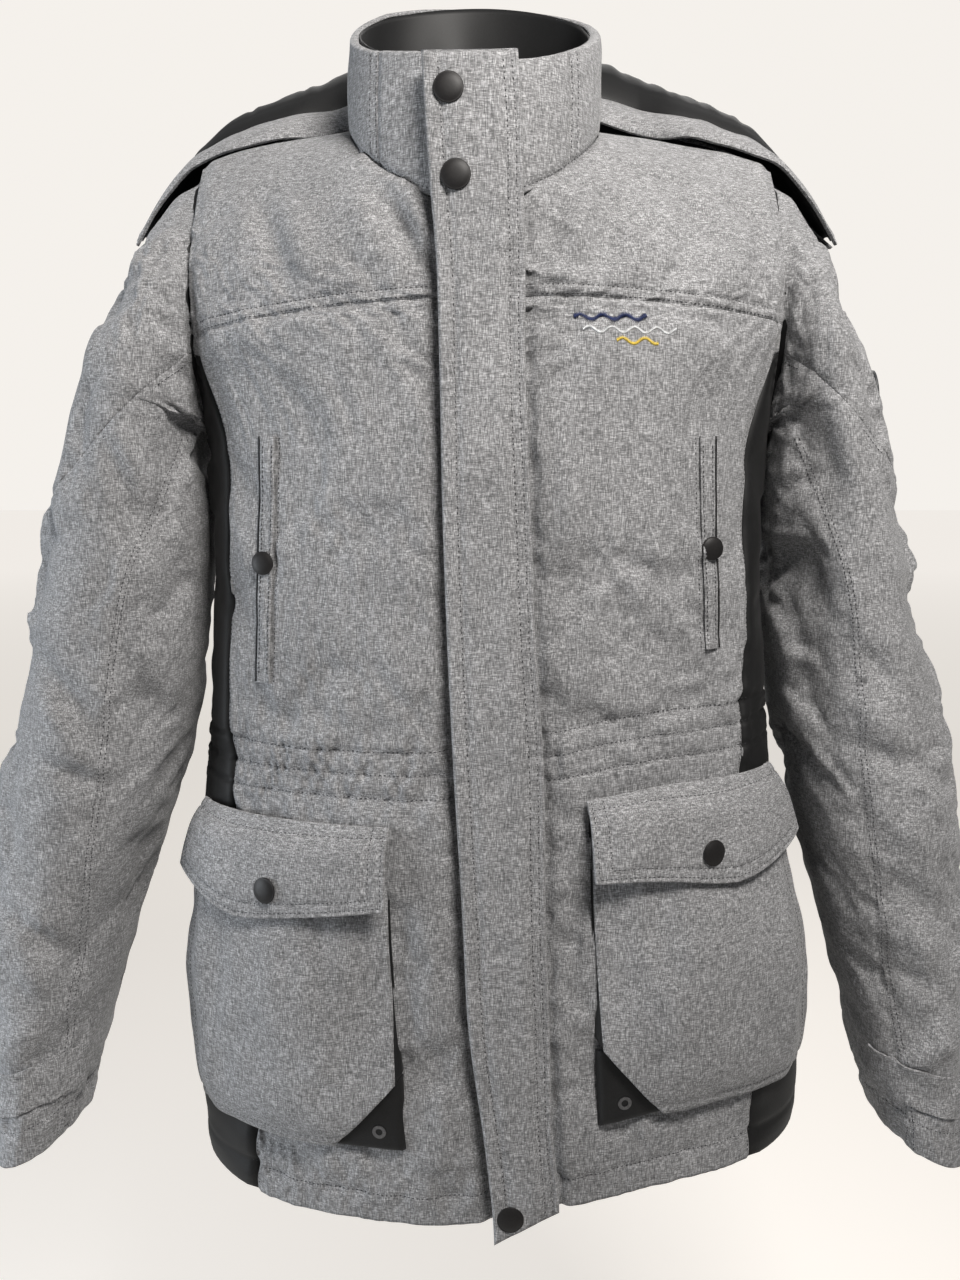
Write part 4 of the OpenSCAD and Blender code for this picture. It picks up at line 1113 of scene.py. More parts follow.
for side, tag in ((1, "left"), (-1, "right")):
    coarse_s, d_c, s_c, a_c = sleeve_surface(side, 78, 64)
    held = np.zeros(coarse_s.shape[:2])
    held[:2], held[2] = 1.0, 0.6
    held[-1], held[-2] = 1.0, 0.5
    moved = settle(coarse_s, held, wrap=True, grow=0.05, pressure=1.2, cap=7.0, frames=13, seed=40 + side,
        flip=side > 0)
    rows, cols = 260, 144
    pts, d_f, s_f, a_f = sleeve_surface(side, rows, cols)
    pts = pts + resample(moved, rows, cols, wrap=True)
    reach = reach_of(pts)
    pts = slim(pts, reach, side)
    n_out = normals(pts, True) * (-1 if side < 0 else 1)
    centre = pts.mean(1, keepdims=True)
    n_out = n_out * np.sign((n_out * (pts - centre)).sum(-1).mean())
    facing_front = n_out[..., 1] < 0.15
    dep = np.zeros((rows, cols))
    q = pts[..., [0, 2]]
    for ax, az, bx, bz, wd, dd in (FOLDS_LEFT if side > 0 else FOLDS_RIGHT):
        a0, b0 = np.array([ax, az], float), np.array([bx, bz], float)
        v = b0 - a0
        t = (q - a0) @ v / (v @ v)
        gap = np.linalg.norm(q - (a0 + np.clip(t, 0, 1)[..., None] * v), axis=-1)
        dep += (facing_front * 1.35 * dd * np.exp(-(gap / wd) ** 2)
            * np.sin(pi * np.clip(t, 0.04, 0.96)) ** 0.5)
    # folds round the back and outside
    local = np.random.default_rng(60 + side)
    for k in range(26):
        a_mid, d_mid = local.uniform(10, 170), local.uniform(110, SLEEVE_LENGTH - 60)
        tilt, half_l, wd, dd = ((local.uniform(-0.6, 0.6), local.uniform(22, 48), local.uniform(8, 14),
            local.uniform(-2.6, 3.2)))
        da = ((a_f[None] - a_mid + 180) % 360 - 180) * 1.15
        dl = d_f[:, None] - d_mid
        along = da * cos(tilt) + dl * sin(tilt)
        cross = -da * sin(tilt) + dl * cos(tilt)
        dep += dd * np.exp(-(cross / wd) ** 2 - (along / half_l) ** 2)
    wrapped = field(rows, cols, 40, 22, 70 + side)
    edge_fade = np.sin(np.linspace(0, pi, cols)) ** 0.3
    dep += (1.0 * wrapped + 0.6 * field(rows, cols, 80, 44, 72 + side)) * edge_fade
    keys = np.array(sorted((z, x) for x, z in SEAM_KEYS[side]))
    seam_x = curve_at(keys, pts[..., 2])
    for inset, strength in ((0, 1.6), (4.5, 0.6), (-4.5, 0.6)):
        dep += (facing_front * (n_out[..., 1] < -0.2) * strength
            * np.exp(-((pts[..., 0] - seam_x - inset) / 1.8) ** 2) * (pts[..., 2] < -190))
    cap_line = (pts[..., 0] * side - 198) * sin(radians(44)) + (pts[..., 2] + 134) * cos(radians(44))
    dep += 1.5 * np.exp(-(cap_line / 2.4) ** 2) * (pts[..., 0] * side > 214)
    hem_d = SLEEVE_LENGTH - d_f[:, None]
    dep += 1.0 * np.exp(-((hem_d - 26) / 2.2) ** 2)
    puff = -4.0 + 5.1 * smooth(d_f / 22)
    pts = pts - n_out * (dep - puff[:, None])[..., None]
    # tucked start and turned-in cuff
    centre0 = np.array([side * ARM_X, ARM_Y, ARM_Z])
    tuck = [centre0 + (pts[0] - centre0) * 0.955 - np.array([side * 7, 0, 0]),
        centre0 + (pts[0] - centre0) * 0.975 - np.array([side * 3, 0, 0])]
    end, before = pts[-1], pts[-6]
    end_c = end.mean(0)
    down = (end - before).mean(0)
    down = down / np.linalg.norm(down)
    inward = (end_c - end) / np.linalg.norm(end_c - end, axis=1, keepdims=True)
    turn = [end + down * 1.4 + inward * 0.5, end + down * 2.0 + inward * 2.2,
        end + down * 1.2 + inward * 3.9, end - down * 4 + inward * 4.4, end - down * 26 + inward * 4.8]
    full = np.concatenate([np.array(tuck), pts, np.array(turn)], 0)
    # the outer cloth is cut at the sleeve cap seam into two pieces
    whole = grid("sleeve_" + tag + "_cloth", full, M_SHELL, wrap=True, flip=side > 0)
    SLEEVE_CLOTH[side] = Cloth(whole)
    cut_at, cut_dir = ((Vector((side * 0.198, 0, -0.134)),
        Vector((side * sin(radians(44)), 0, cos(radians(44))))))
    for piece_name, node, direction in (("sleeve_body_" + tag, "sleeve_" + tag, cut_dir),
            ("sleeve_head_" + tag, "sleeve_cap_" + tag, -cut_dir)):
        piece = whole.copy()
        piece.data = whole.data.copy()
        piece.name = piece_name
        bpy.context.collection.objects.link(piece)
        bm = bmesh.new()
        bm.from_mesh(piece.data)
        bmesh.ops.bisect_plane(bm, geom=bm.verts[:] + bm.edges[:] + bm.faces[:], plane_co=cut_at,
            plane_no=direction, clear_outer=True, dist=1e-6)
        bm.to_mesh(piece.data)
        bm.free()
        solid(piece, 1.4)
        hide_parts(node)
        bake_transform(piece)
    bpy.data.objects.remove(whole)
    # lining
    lin_pts, d_l, _, _ = sleeve_surface(side, 70, 48, -5.5)
    sink = 4.5 * smooth(d_l / 60) * smooth((SLEEVE_LENGTH - d_l) / 60)
    lin_centre = lin_pts.mean(1, keepdims=True)
    lin_pts = (lin_pts + (lin_centre - lin_pts) / np.linalg.norm(lin_centre - lin_pts, axis=-1,
        keepdims=True) * sink[:, None, None])
    lin_pts = slim(lin_pts, reach, side)[:-2]
    piece = grid("sleeve_inner_" + tag, lin_pts, M_LINING, wrap=True, flip=side < 0)
    solid(piece, 0.8)
    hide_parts("sleeve_lining_" + tag)
    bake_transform(piece)
    # stitching
    sleeve_normal = SLEEVE_CLOTH[side].normal(lambda p: np.array([0, -1.0, 0]))
    z_run = np.linspace(-205, -735, 160)
    for inset in (2.0, 5.2):
        path = np.stack([curve_at(keys, z_run) + side * inset, np.full(160, -200.0), z_run], -1)
        stitch("sleeve_" + tag, SLEEVE_CLOTH[side].lay(path, (0, 1, 0)), sleeve_normal)
    ring_normal = SLEEVE_CLOTH[side].normal(lambda p, c=end_c: np.array([p[0] - c[0], p[1] - c[1], 0.0]))
    row = int(np.argmin(np.abs(SLEEVE_LENGTH - d_f - 26)))
    loop_path = np.concatenate([pts[row], pts[row][:1]])
    stitch("sleeve_" + tag, loop_path, ring_normal)
    head_normal = SLEEVE_CLOTH[side].normal(lambda p, s=side: np.array([s * 1.0, 0, 0.6]))
    cap_pts = []
    for yy in np.linspace(-84, 74, 70):
        x0 = 198 + 3.0 * sin(radians(44))
        best, bn = None, None
        hit = SLEEVE_CLOTH[side].tree.ray_cast(Vector((side
            * (198 + 120 * cos(radians(44)) - 3 * sin(radians(44))), yy,
            -134 - 120 * sin(radians(44)) - 3.4)) * MM,
                                               Vector((-side * cos(radians(44)), 0, sin(radians(44)))), 0.3)
        if hit[0] is not None:
            cap_pts.append(np.array(hit[0]) / MM)
    if len(cap_pts) > 3:
        stitch("sleeve_" + tag, np.array(cap_pts), head_normal)
    # cuff tab
    tab_a = np.linspace(-150, -60, 40)
    tab_s = np.linspace(10.35, 11.0, 12)
    tab = ring_point(tab_s[:, None], tab_a[None], 0.0)
    tz = tab[..., 2]
    tab[..., 0] += (-13 if side > 0 else 5) * smooth((-380 - tz) / 320)
    tab[..., 0] *= side
    flat_tab = []
    for r_ in tab:
        near = SLEEVE_CLOTH[side].near(r_)
        c = np.array([side * curve_at(RING_KEYS, np.array(10.7))[0], -46, -680])
        out_dir = near - c
        out_dir[:, 2] = 0
        out_dir /= np.linalg.norm(out_dir, axis=1, keepdims=True)
        flat_tab.append(near + out_dir * 1.8)
    flat_tab = np.array(flat_tab)
    for _ in range(6):
        flat_tab[1:-1, 1:-1] = ((flat_tab[:-2, 1:-1] + flat_tab[2:, 1:-1] + flat_tab[1:-1, :-2]
            + flat_tab[1:-1, 2:]) / 4)
    piece = grid("cuff_tab_cloth_" + tag, flat_tab, M_SHELL, flip=side > 0)
    solid(piece, 1.8, 0, bevel=0.5)
    finish_piece(piece, "cuff_tab_" + tag, ["cuff_tab_" + tag])

# badge on the wearer's left sleeve
hit = SLEEVE_CLOTH[1].tree.ray_cast(Vector((0.45, -0.030, -0.172)), Vector((-1, 0, 0)), 0.4)
badge = lathe("sleeve_badge_disc", [(0.01, 1.5), (12.6, 1.5), (13.2, 1.9), (15.4, 1.9), (16.2, 1.5),
    (16.4, 0), (15, -0.8), (0.01, -0.8)], M_BADGE, 64)
place(badge, np.array(hit[0]) / MM + np.array([0.2, 0, 0]), (0.97, -0.16, 0.12))
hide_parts("sleeve_badge")
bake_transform(badge)

# ------------------------------------------------------------------ chest welts
WELT_Z = (-205.0, -375.0)
for side, tag in ((1, "left"), (-1, "right")):
    n_r, n_c = 60, 12
    t = np.linspace(0, 1, n_r)[:, None]
    i = np.linspace(0, 1, n_c)[None]
    wz = WELT_Z[0] + (WELT_Z[1] - WELT_Z[0]) * t + 0 * i
    wx = (144.5 + 7.5 * t) + ((155.5 + 6.5 * t) - (144.5 + 7.5 * t)) * i
    base = front(side * wx, wz, 0.0)
    path_pts = np.array([TORSO_CLOTH.lay(r_, (0, 1, 0)) for r_ in base])
    crown = (1.0 * np.sin(pi * i) ** 0.5 + 0.3 * field(n_r, n_c, 14, 2, 80 + side)
        - 0.5 * np.exp(-((i - 0.28) / 0.1) ** 2))
    strip = path_pts - np.array([0, 1, 0]) * (2.4 + crown)[..., None]
    piece = grid("welt_strip_" + tag, strip, M_SHELL, flip=side > 0)
    solid(piece, 2.2, -1, bevel=0.6)
    cloth = Cloth(piece)
    finish_piece(piece, "welt_" + tag, ["welt_" + tag])
    wn = cloth.normal(front_out)
    for col in (2, n_c - 3):
        stitch("welt_" + tag, strip[2:-2, col] - np.array([0, 0.3, 0]), wn)
    stitch("jacket_body", TORSO_CLOTH.lay(base[:, 0] - np.array([side * 3.2, 0, 0]), (0, 1, 0)), torso_normal)
    # Painted shade: a thin black strip laid on the body along the welt's outer edge stands in for the shadow in the
    # gap under the welt.
    gap_shade_line = TORSO_CLOTH.lay(front(side * (wx[:, -1] + 1.0), wz[:, -1], 0.0), (0, 1, 0))
    gapg = np.stack([gap_shade_line + np.array([side * k, -0.35, 0]) for k in (-0.8, 0.0, 0.8)], 1)
    piece = grid("welt_gap_painted_shade_" + tag, gapg, M_LINING, flip=side > 0)
    solid(piece, 0.4, 0)
    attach(piece, "jacket_body")
    at = strip[30, 6] + np.array([side * 1.0, -0.6, 0])
    snap("welt_cap_" + tag, at, (side * 0.32, -0.95, 0.03), "welt_" + tag, 8.2, ["welt_snap_" + tag])

# ------------------------------------------------------------------ cargo pockets
POCKET_OFF = [[-706, 9], [-690, 15], [-640, 19], [-600, 20], [-520, 13], [-478, 8.5]]
for side, tag in ((1, "left"), (-1, "right")):
    n_r, n_c = 96, 84
    z_rows = np.linspace(-705, -478, n_r)

    def pocket_u(i, z):
        return side * (u_of_x(70.0, z) * (1 - i) + 66 * i)

    zr = z_rows[:, None]
    ii = np.linspace(0, 1, n_c)[None]
    base_off = curve_at(POCKET_OFF, z_rows)[:, None]
    bow_in = 0.2 + 0.42 * smooth((-590 - zr) / 80)
    bow = bow_in + (1 - bow_in) * smooth(ii / 0.3) - 0.36 * smooth((ii - 0.72) / 0.28)
    sag = 1.6 * field(n_r, n_c, 7, 6, 90 + side) + 0.8 * field(n_r, n_c, 16, 14, 92 + side)
    folds = np.zeros((n_r, n_c))
    for fi, fz0, gi, gz0, wd, dd in ((0.25, -500, 0.16, -640, 0.06, 2.6),
            (0.4, -530, 0.36, -690, 0.07, -2.4), (0.62, -520, 0.7, -640, 0.07, 2.4),
                                     (0.85, -520, 0.78, -680, 0.06, -2.2),
                                     (0.5, -600, 0.75, -690, 0.06, 2.4),
                                     (0.12, -560, 0.25, -660, 0.05, -2.0)):
        tt = np.clip((zr - fz0) / (gz0 - fz0), 0, 1)
        centre_i = fi + (gi - fi) * tt
        folds += dd * np.exp(-((ii - centre_i) / wd) ** 2) * np.sin(pi * np.clip(tt, 0.03, 0.97)) ** 0.6
    hemline = np.exp(-((ii - 0.965) / 0.013) ** 2) * 0.9 + np.exp(-((zr + 698) / 1.8) ** 2) * 0.9
    off = base_off * bow + sag - folds - hemline
    face = body(pocket_u(ii, zr), zr + 0 * ii, off)
    # outer wall, in line with the last column, and the lower wall
    wall = [body(pocket_u(np.array([[1.0 + 0.008 * k]]), zr), zr,
        (off[:, -1:] * (1 - k / 4) + 0.4 * k / 4) - (1.5 if k in (1, 2) else 0)) for k in (1, 2, 3, 4)]
    face = np.concatenate([face] + wall, 1)
    off_all = np.concatenate([off, off[:, -1:] * 0.75, off[:, -1:] * 0.5, off[:, -1:] * 0.25,
        off[:, -1:] * 0 + 0.4], 1)
    i_all = np.concatenate([ii + 0 * zr] + [np.full((n_r, 1), 1.0 + 0.008 * k) for k in (1, 2, 3, 4)], 1)
    floor_rows = [body(pocket_u(i_all[:1], -705.0), np.full((1, i_all.shape[1]), -705.0 - 0.9 * k),
        np.maximum(off_all[:1] * (1 - k / 4), 0.4)) for k in (4, 3, 2, 1)]
    face = np.concatenate(floor_rows + [face], 0)
    corner = body(side * u_of_x(70.0, -705.0), -705.0, 0.0)
    p_a = np.array([corner[0], 0, corner[2] + 58])
    p_b = np.array([corner[0] + side * 50, 0, corner[2]])
    along = p_b - p_a
    toward = np.array([-side * abs(along[2]), 0, -abs(along[0])])
    toward = toward / np.linalg.norm(toward)
    piece = cut_mesh("cargo_bag_" + tag, face if side > 0 else face[:, ::-1], M_SHELL,
        [(tuple(p_a * MM), tuple(toward))], armhole=False)
    solid(piece, 1.5)
    bag_cloth = Cloth(piece)
    finish_piece(piece, "jacket_body", ["cargo_pocket_" + tag])
    bag_normal = bag_cloth.normal(out_from_axis)
    # black bellows wall on the inner edge
    z_w = np.linspace(-705, -480, 60)
    edge_off = np.interp(z_w, z_rows, off[:, 0])
    cols_w = []
    for k in np.linspace(0, 1, 7):
        sink = 1.0 - k
        u_in = u_of_x(70.0 - (0.3 + 4.2 * smooth((-600 - z_w) / 80)) * k, z_w)
        cols_w.append(body(side * u_in, z_w, edge_off * sink - 0.2 + 0.5 * k
            - 2.6 * np.sin(2 * pi * k) * 0.4))
    wall_in = np.stack(cols_w, 1)
    piece = cut_mesh("bellows_" + tag, wall_in if side < 0 else wall_in[:, ::-1], M_PANEL,
        [(tuple(p_a * MM), tuple(toward))], armhole=False)
    solid(piece, 1.0)
    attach(piece, "jacket_body")
    # gusset triangle with its folded band; the eyelet is the CAD part
    gi = np.linspace(-0.05, 1.0, 30)[None]
    gz = np.linspace(-707, -650, 34)[:, None]
    gx = 70.0 + 52 * gi + 0 * gz
    rim = np.minimum(np.minimum((gi + 0.05) * 52, (gz + 707)) / 4.0, 1)
    g_off = (0.8 + 5.0 * np.sqrt(np.clip(1 - (1 - np.clip(rim, 0, 1)) ** 2, 0, 1))
        + 0.5 * field(34, 30, 6, 5, 95 + side))
    gus = body(side * u_of_x(gx, gz + 0 * gx), gz + 0 * gx, g_off)
    back_plane = p_a - toward * 6
    piece = cut_mesh("gusset_" + tag, gus if side > 0 else gus[:, ::-1], M_PANEL,
        [(tuple(back_plane * MM), tuple(-toward))], armhole=False)
    solid(piece, 1.2)
    gus_cloth = Cloth(piece)
    finish_piece(piece, "jacket_body", ["pocket_gusset_" + tag])
    band_a, band_b = p_a + toward * 1.0, p_b + toward * 1.0
    ts_b = np.linspace(0.0, 1.0, 40)
    rows_b = []
    for k in (-3.0, 0.0, 3.0, 6.0, 9.0):
        line_b = band_a[None] * (1 - ts_b[:, None]) + band_b[None] * ts_b[:, None] + toward[None] * k
        lay = gus_cloth.lay(line_b + np.array([0, -200, 0]), (0, 1, 0))
        rows_b.append(lay if len(lay) == 40 else None)
    if all(r_ is not None for r_ in rows_b):
        band = (np.array(rows_b) - np.array([0, 1.6, 0])
            - np.array([0, 0.9, 0]) * np.sin(np.linspace(0, pi, 5))[:, None, None])
        piece = grid("gusset_band_" + tag, band, M_PANEL, flip=side > 0)
        solid(piece, 1.2, 0, bevel=0.3)
        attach(piece, "jacket_body")
    # stitching on the bag
    path = body(pocket_u(np.full(90, 0.945), np.linspace(-698, -530, 90)), np.linspace(-698, -530, 90), 40)
    out_dir = path[45] - np.array([0, BODY_Y, path[45][2]])
    stitch("jacket_body", bag_cloth.lay(path, -out_dir), bag_normal)
    path = body(pocket_u(np.linspace(0.42, 0.97, 90), -697.0), np.full(90, -697.0), 40)
    stitch("jacket_body", np.array([p for p in (bag_cloth.drop(q_,
        (-(q_[0]) * 0.6, -(q_[1] - BODY_Y), 0))[0] for q_ in path) if p is not None]), bag_normal)

    # flap
    f_r, f_c = 40, 80
    fi = np.linspace(0, 1, f_c)[None]
    tip = 0.55 if side < 0 else 0.5
    low_line = np.interp(fi, [0, tip, 1], [-524, -541, -519])
    low_line = low_line + 1.5 * np.exp(-((fi - tip) / 0.06) ** 2)
    kk = np.linspace(0, 1, f_r)[:, None]
    cz = low_line * (1 - kk) - 469.0 * kk
    f_off = curve_at([[-548, 21.5], [-520, 18.5], [-500, 16], [-484, 12.5], [-474, 7.5], [-468, 4]], cz)
    edge_mm = np.minimum(np.minimum(fi, 1 - fi) * 150, np.minimum(kk, 1.0) * 55)
    top_mm = (1 - kk) * 55 + 0 * fi
    crown = (1.6 * np.clip((np.minimum(edge_mm, top_mm) - 6) / 12, 0, 1) ** 0.7
        - 0.8 * np.exp(-((edge_mm - 2.2) / 1.0) ** 2) - 0.8 * np.exp(-((edge_mm - 8) / 1.2) ** 2)
        - 0.8 * np.exp(-((top_mm - 7) / 1.2) ** 2))
    crown = crown + 1.1 * field(f_r, f_c, 5, 8, 97 + side) * np.clip(edge_mm / 10, 0.3, 1)
    fu = side * (u_of_x(66.0, cz) * (1 - fi) + 67.5 * fi)
    flap_pts = body(fu, cz, f_off + 1.2 + crown)
    piece = grid("cargo_flap_pad_" + tag, flap_pts if side > 0 else flap_pts[:, ::-1], M_SHELL)
    solid(piece, 3.0, -1, bevel=1.0)
    fcloth = Cloth(piece)
    finish_piece(piece, "cargo_flap_" + tag, ["cargo_flap_" + tag])
    fn = fcloth.normal(out_from_axis)
    for inset in (2.2, 8.0):
        ci = inset / 150
        cols_i = np.clip((np.linspace(ci, 1 - ci, 90) * (f_c - 1)), 0, f_c - 1)
        rows_i = np.full(90, inset / 55 * (f_r - 1))
        take = lambda r_, c_: flap_pts[np.clip(np.round(r_).astype(int), 0, f_r - 1),
            np.clip(np.round(c_).astype(int), 0, f_c - 1)]
        stitch("cargo_flap_" + tag, take(rows_i, cols_i), fn)
        for c_edge in (ci * (f_c - 1), (1 - ci) * (f_c - 1)):
            r_run = np.linspace(inset / 55 * (f_r - 1), f_r - 2, 36)
            stitch("cargo_flap_" + tag, take(r_run, np.full(36, c_edge)), fn)
    stitch("cargo_flap_" + tag, take(np.full(90, f_r - 1 - 7 / 55 * f_r), np.linspace(1, f_c - 2, 90)), fn)
    at, _ = fcloth.drop(front(side * 150.0, -516.0, 60),
        -(front(side * 150.0, -516.0, 60) - np.array([0, BODY_Y, -516.0 + lift(side * 150, -516)])))
    out_dir = (front(side * 150.0, -516.0, 10) - front(side * 150.0, -516.0, 0))
    snap("cargo_cap_" + tag, at, out_dir / np.linalg.norm(out_dir) + np.array([0, -0.35, 0.1]),
        "cargo_flap_" + tag, 9.2, ["cargo_snap_cap_" + tag])

# ------------------------------------------------------------------ hood
HOOD_FRONT = [[0, 80], [80, 78], [106, 66], [118, 8], [140, -8], [180, -12], [228, -8], [262, 2]]
HOOD_BRIM = [[0, 34], [106, 26], [118, 15], [150, 8], [180, 1], [205, -6], [228, -21], [246, -40], [262, -62]]
HOOD_CREST = [[0, 72], [106, 66], [118, 60], [150, 48], [180, 36], [205, 22], [228, 0], [246, -24],
    [262, -50]]
HOOD_REAR = [[0, 162], [78, 156], [118, 146], [150, 132], [180, 114], [205, 98], [228, 82], [246, 66],
    [262, 48]]
HOOD_FOLD = [[0, -290], [40, -286], [78, -262], [106, -215], [150, -110], [180, -48], [205, -28],
    [228, -30], [246, -42], [262, -62]]


WING_FRONT = [[80, 16], [118, 8], [140, -8], [180, -12], [228, -8], [262, 2]]
WING_BRIM = [[80, 31], [100, 24], [118, 17], [150, 10], [180, 3], [205, -5], [228, -20], [246, -39],
    [262, -62]]


def hood_at(x, t, off=0.0, wing=False):
    x, t = np.broadcast_arrays(np.asarray(x, float), np.asarray(t, float))
    ax = np.abs(x)
    yf, zf, zc, yr, zl = (curve_at(k, ax) for k in (WING_FRONT if wing else HOOD_FRONT, WING_BRIM if wing
        else HOOD_BRIM, HOOD_CREST, HOOD_REAR, HOOD_FOLD))
    d = np.clip(2 * t - 1, 0, 1)
    near = np.stack([x, yf + (yr - 14 - yf) * np.clip(t / 0.5, 0, 1) ** 1.3
        + off * np.where(t < 0.25, -0.5, 0.2),
                     zf + (zc - zf) * np.sin(pi * np.clip(t, 0, 0.5)) ** 0.75 + off * 0.9], -1)
    far = np.stack([x, yr - 14 + 14 * np.sin(np.minimum(pi / 2, d * 7)) - 34 * d * d + off,
        zc + (zl - zc) * d ** 0.9 + off * 0.2], -1)
    return np.where((t <= 0.5)[..., None], near, far)


for side in (1, -1):
    tag = "left" if side > 0 else "right"
    wing = side * np.linspace(84 if side > 0 else 99, 262, 90)
    # brim strip of shell cloth
    tt = np.linspace(0.0, 0.2, 22)
    ruck = 1.2 * field(22, 90, 4, 12, 120 + side)
    strip_h = hood_at(wing[None], tt[:, None], 0.0 + ruck
        - 1.0 * np.exp(-((tt[:, None] - 0.035) / 0.012) ** 2), True)
    piece = grid("hood_brim_" + tag, strip_h, M_SHELL, flip=side < 0)
    solid(piece, 2.4, 0, bevel=0.6)
    brim_cloth = Cloth(piece)
    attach(piece, "hood")
    bn = brim_cloth.normal(lambda p: np.array([0, -0.6, 1.0]))
    stitch("hood", strip_h[4], bn)
    stitch("hood", strip_h[-3], bn)
    # gathered black roll behind it
    tt = np.linspace(0.19, 0.52, 40)[:, None]
    roll_w = np.clip(np.sin(pi * (tt - 0.19) / 0.33), 0, 1) ** 0.6
    gath = (np.sin(np.abs(wing)[None] * 2 * pi / 19 + 3.2 * field(40, 90, 5, 18, 130 + side)) * 0.9
        + 1.0 * field(40, 90, 8, 20, 131 + side))
    aw = np.abs(wing)[None]
    rise = np.interp(aw, [84, 122, 150, 180, 205, 228, 250, 262], [30, 27, 21, 18, 14, 8, 2, 0])
    arch = np.sin(pi * np.clip((tt - 0.19) / 0.33, 0, 1)) ** 0.75
    roll_h = hood_at(wing[None], tt, -2.0 * (1 - roll_w), True)
    roll_h[..., 2] += arch * (rise + 1.3 * gath * np.clip(rise / 14, 0.2, 1))
    roll_h[..., 1] += arch * 1.2 * gath * np.clip(rise / 14, 0.2, 1)
    piece = grid("hood_roll_" + tag, roll_h, M_LINING, flip=side < 0)
    solid(piece, 1.6)
    if side > 0:
        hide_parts("hood_lining")
    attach(piece, "hood")

hx = np.linspace(-262, 262, 200)
tt = np.linspace(0.49, 1.0, 90)[:, None]
dd = np.clip(2 * tt - 1, 0, 1)
swell = 4.0 * np.sin(pi * dd) ** 0.7 + 2.2 * field(90, 200, 8, 14, 140) + 0.9 * field(90, 200, 20, 40, 141)
for fx0, gx0, wd, dp in ((-30, -60, 16, 5), (20, 10, 15, -4.5), (60, 90, 16, 5), (-90, -140, 16, 4.5),
        (120, 160, 18, -4), (-10, -14, 12, 3.5)):
    cx = fx0 + (gx0 - fx0) * dd
    swell = swell - dp * np.exp(-((hx[None] - cx) / wd) ** 2) * np.sin(pi * np.clip(dd, 0.05, 0.95)) ** 0.6
mid_seam = 1.8 * np.exp(-((np.abs(hx)[None] - 46) / 2.4) ** 2)
taper = np.clip((262 - np.abs(hx)[None]) / 40, 0, 1)
bag = hood_at(hx[None], tt, (swell - mid_seam) * taper)
piece = grid("hood_bag", bag, M_SHELL)
solid(piece, 2.0)
bag_h = Cloth(piece)
finish_piece(piece, "hood", ["hood_shell"])
hn = bag_h.normal(lambda p: np.array([0, 1.0, 0.2]))
for sx in (-49.5, 49.5):
    col = int(np.argmin(np.abs(hx - sx)))
    stitch("hood", bag[3:86, col], hn)
tt2 = np.linspace(0.505, 0.985, 50)[:, None]
inside = hood_at(hx[None, ::2], tt2, -4.2 + (0.8 * field(50, 100, 10, 24, 144)
    + resample((swell - mid_seam)[..., None], 50, 100)[..., 0] * 0.7) * taper[:, ::2])
piece = grid("hood_bag_lining", inside, M_LINING, flip=True)
solid(piece, 1.0)
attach(piece, "hood")
# the hood neck panel, which stays on the body when the hood lifts
np_u = np.linspace(124, 236, 70)
np_t = np.linspace(0.5, 0.97, 40)
panel = shoulder(np_u[None], np_t[:, None], 2.0 + 0.5 * field(40, 70, 6, 12, 150))
piece = grid("hood_neck_cloth", panel, M_LINING)
solid(piece, 1.2, 0)
finish_piece(piece, "jacket_body", ["hood_neck_panel"])

# ------------------------------------------------------------------ stitching on the torso
def levels(z_of_x, x0, x1, n=150):
    xs = np.linspace(x0, x1, n)
    return np.stack([xs, np.full(n, -300.0), z_of_x(xs)], -1)


for x0, x1 in ((-200, -38), (34, 200)):
    for rise in (1.6, 7.5):
        stitch("jacket_body", torso_front(levels(lambda x: yoke_z(x) + rise, x0, x1)), torso_normal)
for level in WAIST:
    for x0, x1 in ((-182, -28), (42, 190)):
        stitch("jacket_body", torso_front(levels(lambda x: level + lift(x, np.full(x.shape, level)), x0,
            x1)), torso_normal)
    xs = np.linspace(-145, 145, 200)
    path = np.stack([xs, np.full(200, 300.0), level + lift(xs, np.full(200, level))], -1)
    stitch("jacket_body", torso_back(path), torso_normal)
for x0, x1 in ((-178, 0), (52, 198)):
    stitch("jacket_body", torso_front(levels(lambda x: -HEM + HEM_TURN
        + lift(x - 12, np.full(x.shape, -744.0)), x0, x1)), torso_normal)
xs = np.linspace(-150, 165, 220)
stitch("jacket_body", torso_back(np.stack([xs, np.full(220, 300.0),
    -HEM + HEM_TURN + lift(xs, np.full(220, -744.0))], -1)), torso_normal)
xs = np.linspace(-200, 200, 240)
for rise in (2, 9):
    stitch("jacket_body", torso_back(np.stack([xs, np.full(240, 300.0), np.full(240, BACK_YOKE + rise)],
        -1)), torso_normal)
for col, sgn in ((edges[1], -2), (edges[4], 2), (edges[2], 1), (edges[3], -1)):
    path = TORSO[2:-6, col + sgn]
    path = path[path[:, 2] < ARMPIT + 40]
    stitch("jacket_body", TORSO_CLOTH.near(path), torso_normal)


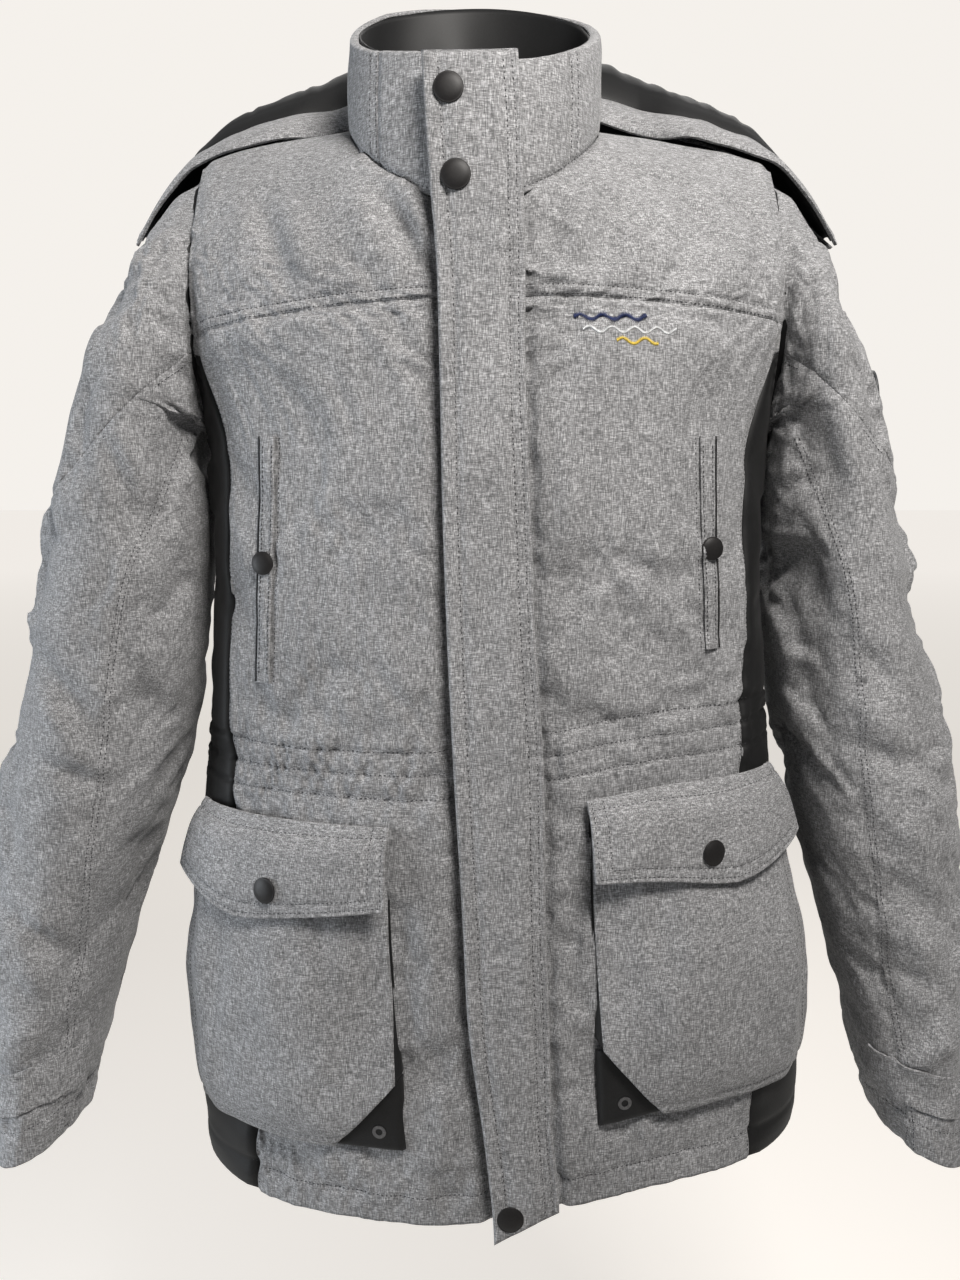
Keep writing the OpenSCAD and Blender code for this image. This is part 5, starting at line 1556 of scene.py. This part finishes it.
# ------------------------------------------------------------------ embroidery: three satin-stitched waves
def satin(name, path, width, material, normal_of, pitch=0.75):
    key = "satin_" + name
    seg = np.concatenate([[0], np.cumsum(np.linalg.norm(np.diff(path, axis=0), axis=1))])
    n = int(seg[-1] / pitch)
    s = np.linspace(0.3, seg[-1] - 0.3, n)
    verts, faces = [], []
    take = lambda v: np.array([np.interp(v, seg, path[:, k]) for k in range(3)])
    for k, v in enumerate(s):
        p, q = take(v), take(min(seg[-1], v + 0.4))
        d = q - p
        d = d / max(np.linalg.norm(d), 1e-9)
        up = normal_of(p)
        side_v = np.cross(up, d)
        side_v = side_v / np.linalg.norm(side_v)
        lean = side_v * 0.97 + d * 0.22
        a, b_ = p - lean * width / 2, p + lean * width / 2
        base = len(verts)
        hgt = 0.75
        verts.extend([a - up * 0.1, b_ - up * 0.1, p - d * 0.42 + up * hgt * 0.5,
            p + d * 0.42 + up * hgt * 0.5, p + up * hgt, p - up * 0.1])
        faces.extend([(base + a, base + b, base + c) for a, b, c in STITCH_FACES])
    obj = link(name, mesh_of(name, np.array(verts), faces), material)
    return obj


wave_specs = [("wave_navy", -129.5, 56, 104, 5.2, M_NAVY), ("wave_white", -137.5, 62, 124, 3.0, M_WHITE),
    ("wave_yellow", -144.5, 84, 112, 3.4, M_YELLOW)]
for k, (name, z0, x0, x1, width, mat) in enumerate(wave_specs):
    xs = np.linspace(x0, x1, 120)
    path = torso_front(np.stack([xs, np.full(120, -300.0), z0 + 1.9 * np.sin((xs - x0) * 2 * pi / 15)], -1))
    obj = satin(name, path, width, mat, torso_normal)
    if k == 0:
        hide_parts("chest_emblem")
    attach(obj, "jacket_body")

# ------------------------------------------------------------------ gather the stitches
for key, (verts, faces) in THREADS.items():
    obj = link("stitches_" + key, mesh_of("stitches_" + key, np.array(verts), faces), M_THREAD)
    if key in ("sleeve_left", "sleeve_right"):
        side = 1 if key.endswith("left") else -1
        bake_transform(obj)
    else:
        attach(obj, key)

# ------------------------------------------------------------------ CAD parts that stay in view
for node, mat in (("zip_teeth_left", M_TEETH), ("zip_teeth_right", M_TEETH), ("zip_slider", M_METAL),
        ("zip_pull", M_METAL),
                  ("flap_snap_sockets", M_METAL), ("flap_snap_studs", M_METAL),
                  ("cargo_snap_stud_left", M_METAL), ("cargo_snap_stud_right", M_METAL),
                  ("eyelet_left", M_METAL), ("eyelet_right", M_METAL)):
    for slot in bpy.data.objects[frame["nodes"][node]
            if isinstance(frame["nodes"], dict) and isinstance(frame["nodes"][node], str)
            else node].material_slots:
        slot.material = mat

# ------------------------------------------------------------------ floor
floor = link("floor", mesh_of("floor", [[-30000, -30000, -1450], [30000, -30000, -1450],
    [30000, 30000, -1450], [-30000, 30000, -1450]], [(0, 1, 2, 3)]), floor_mat)
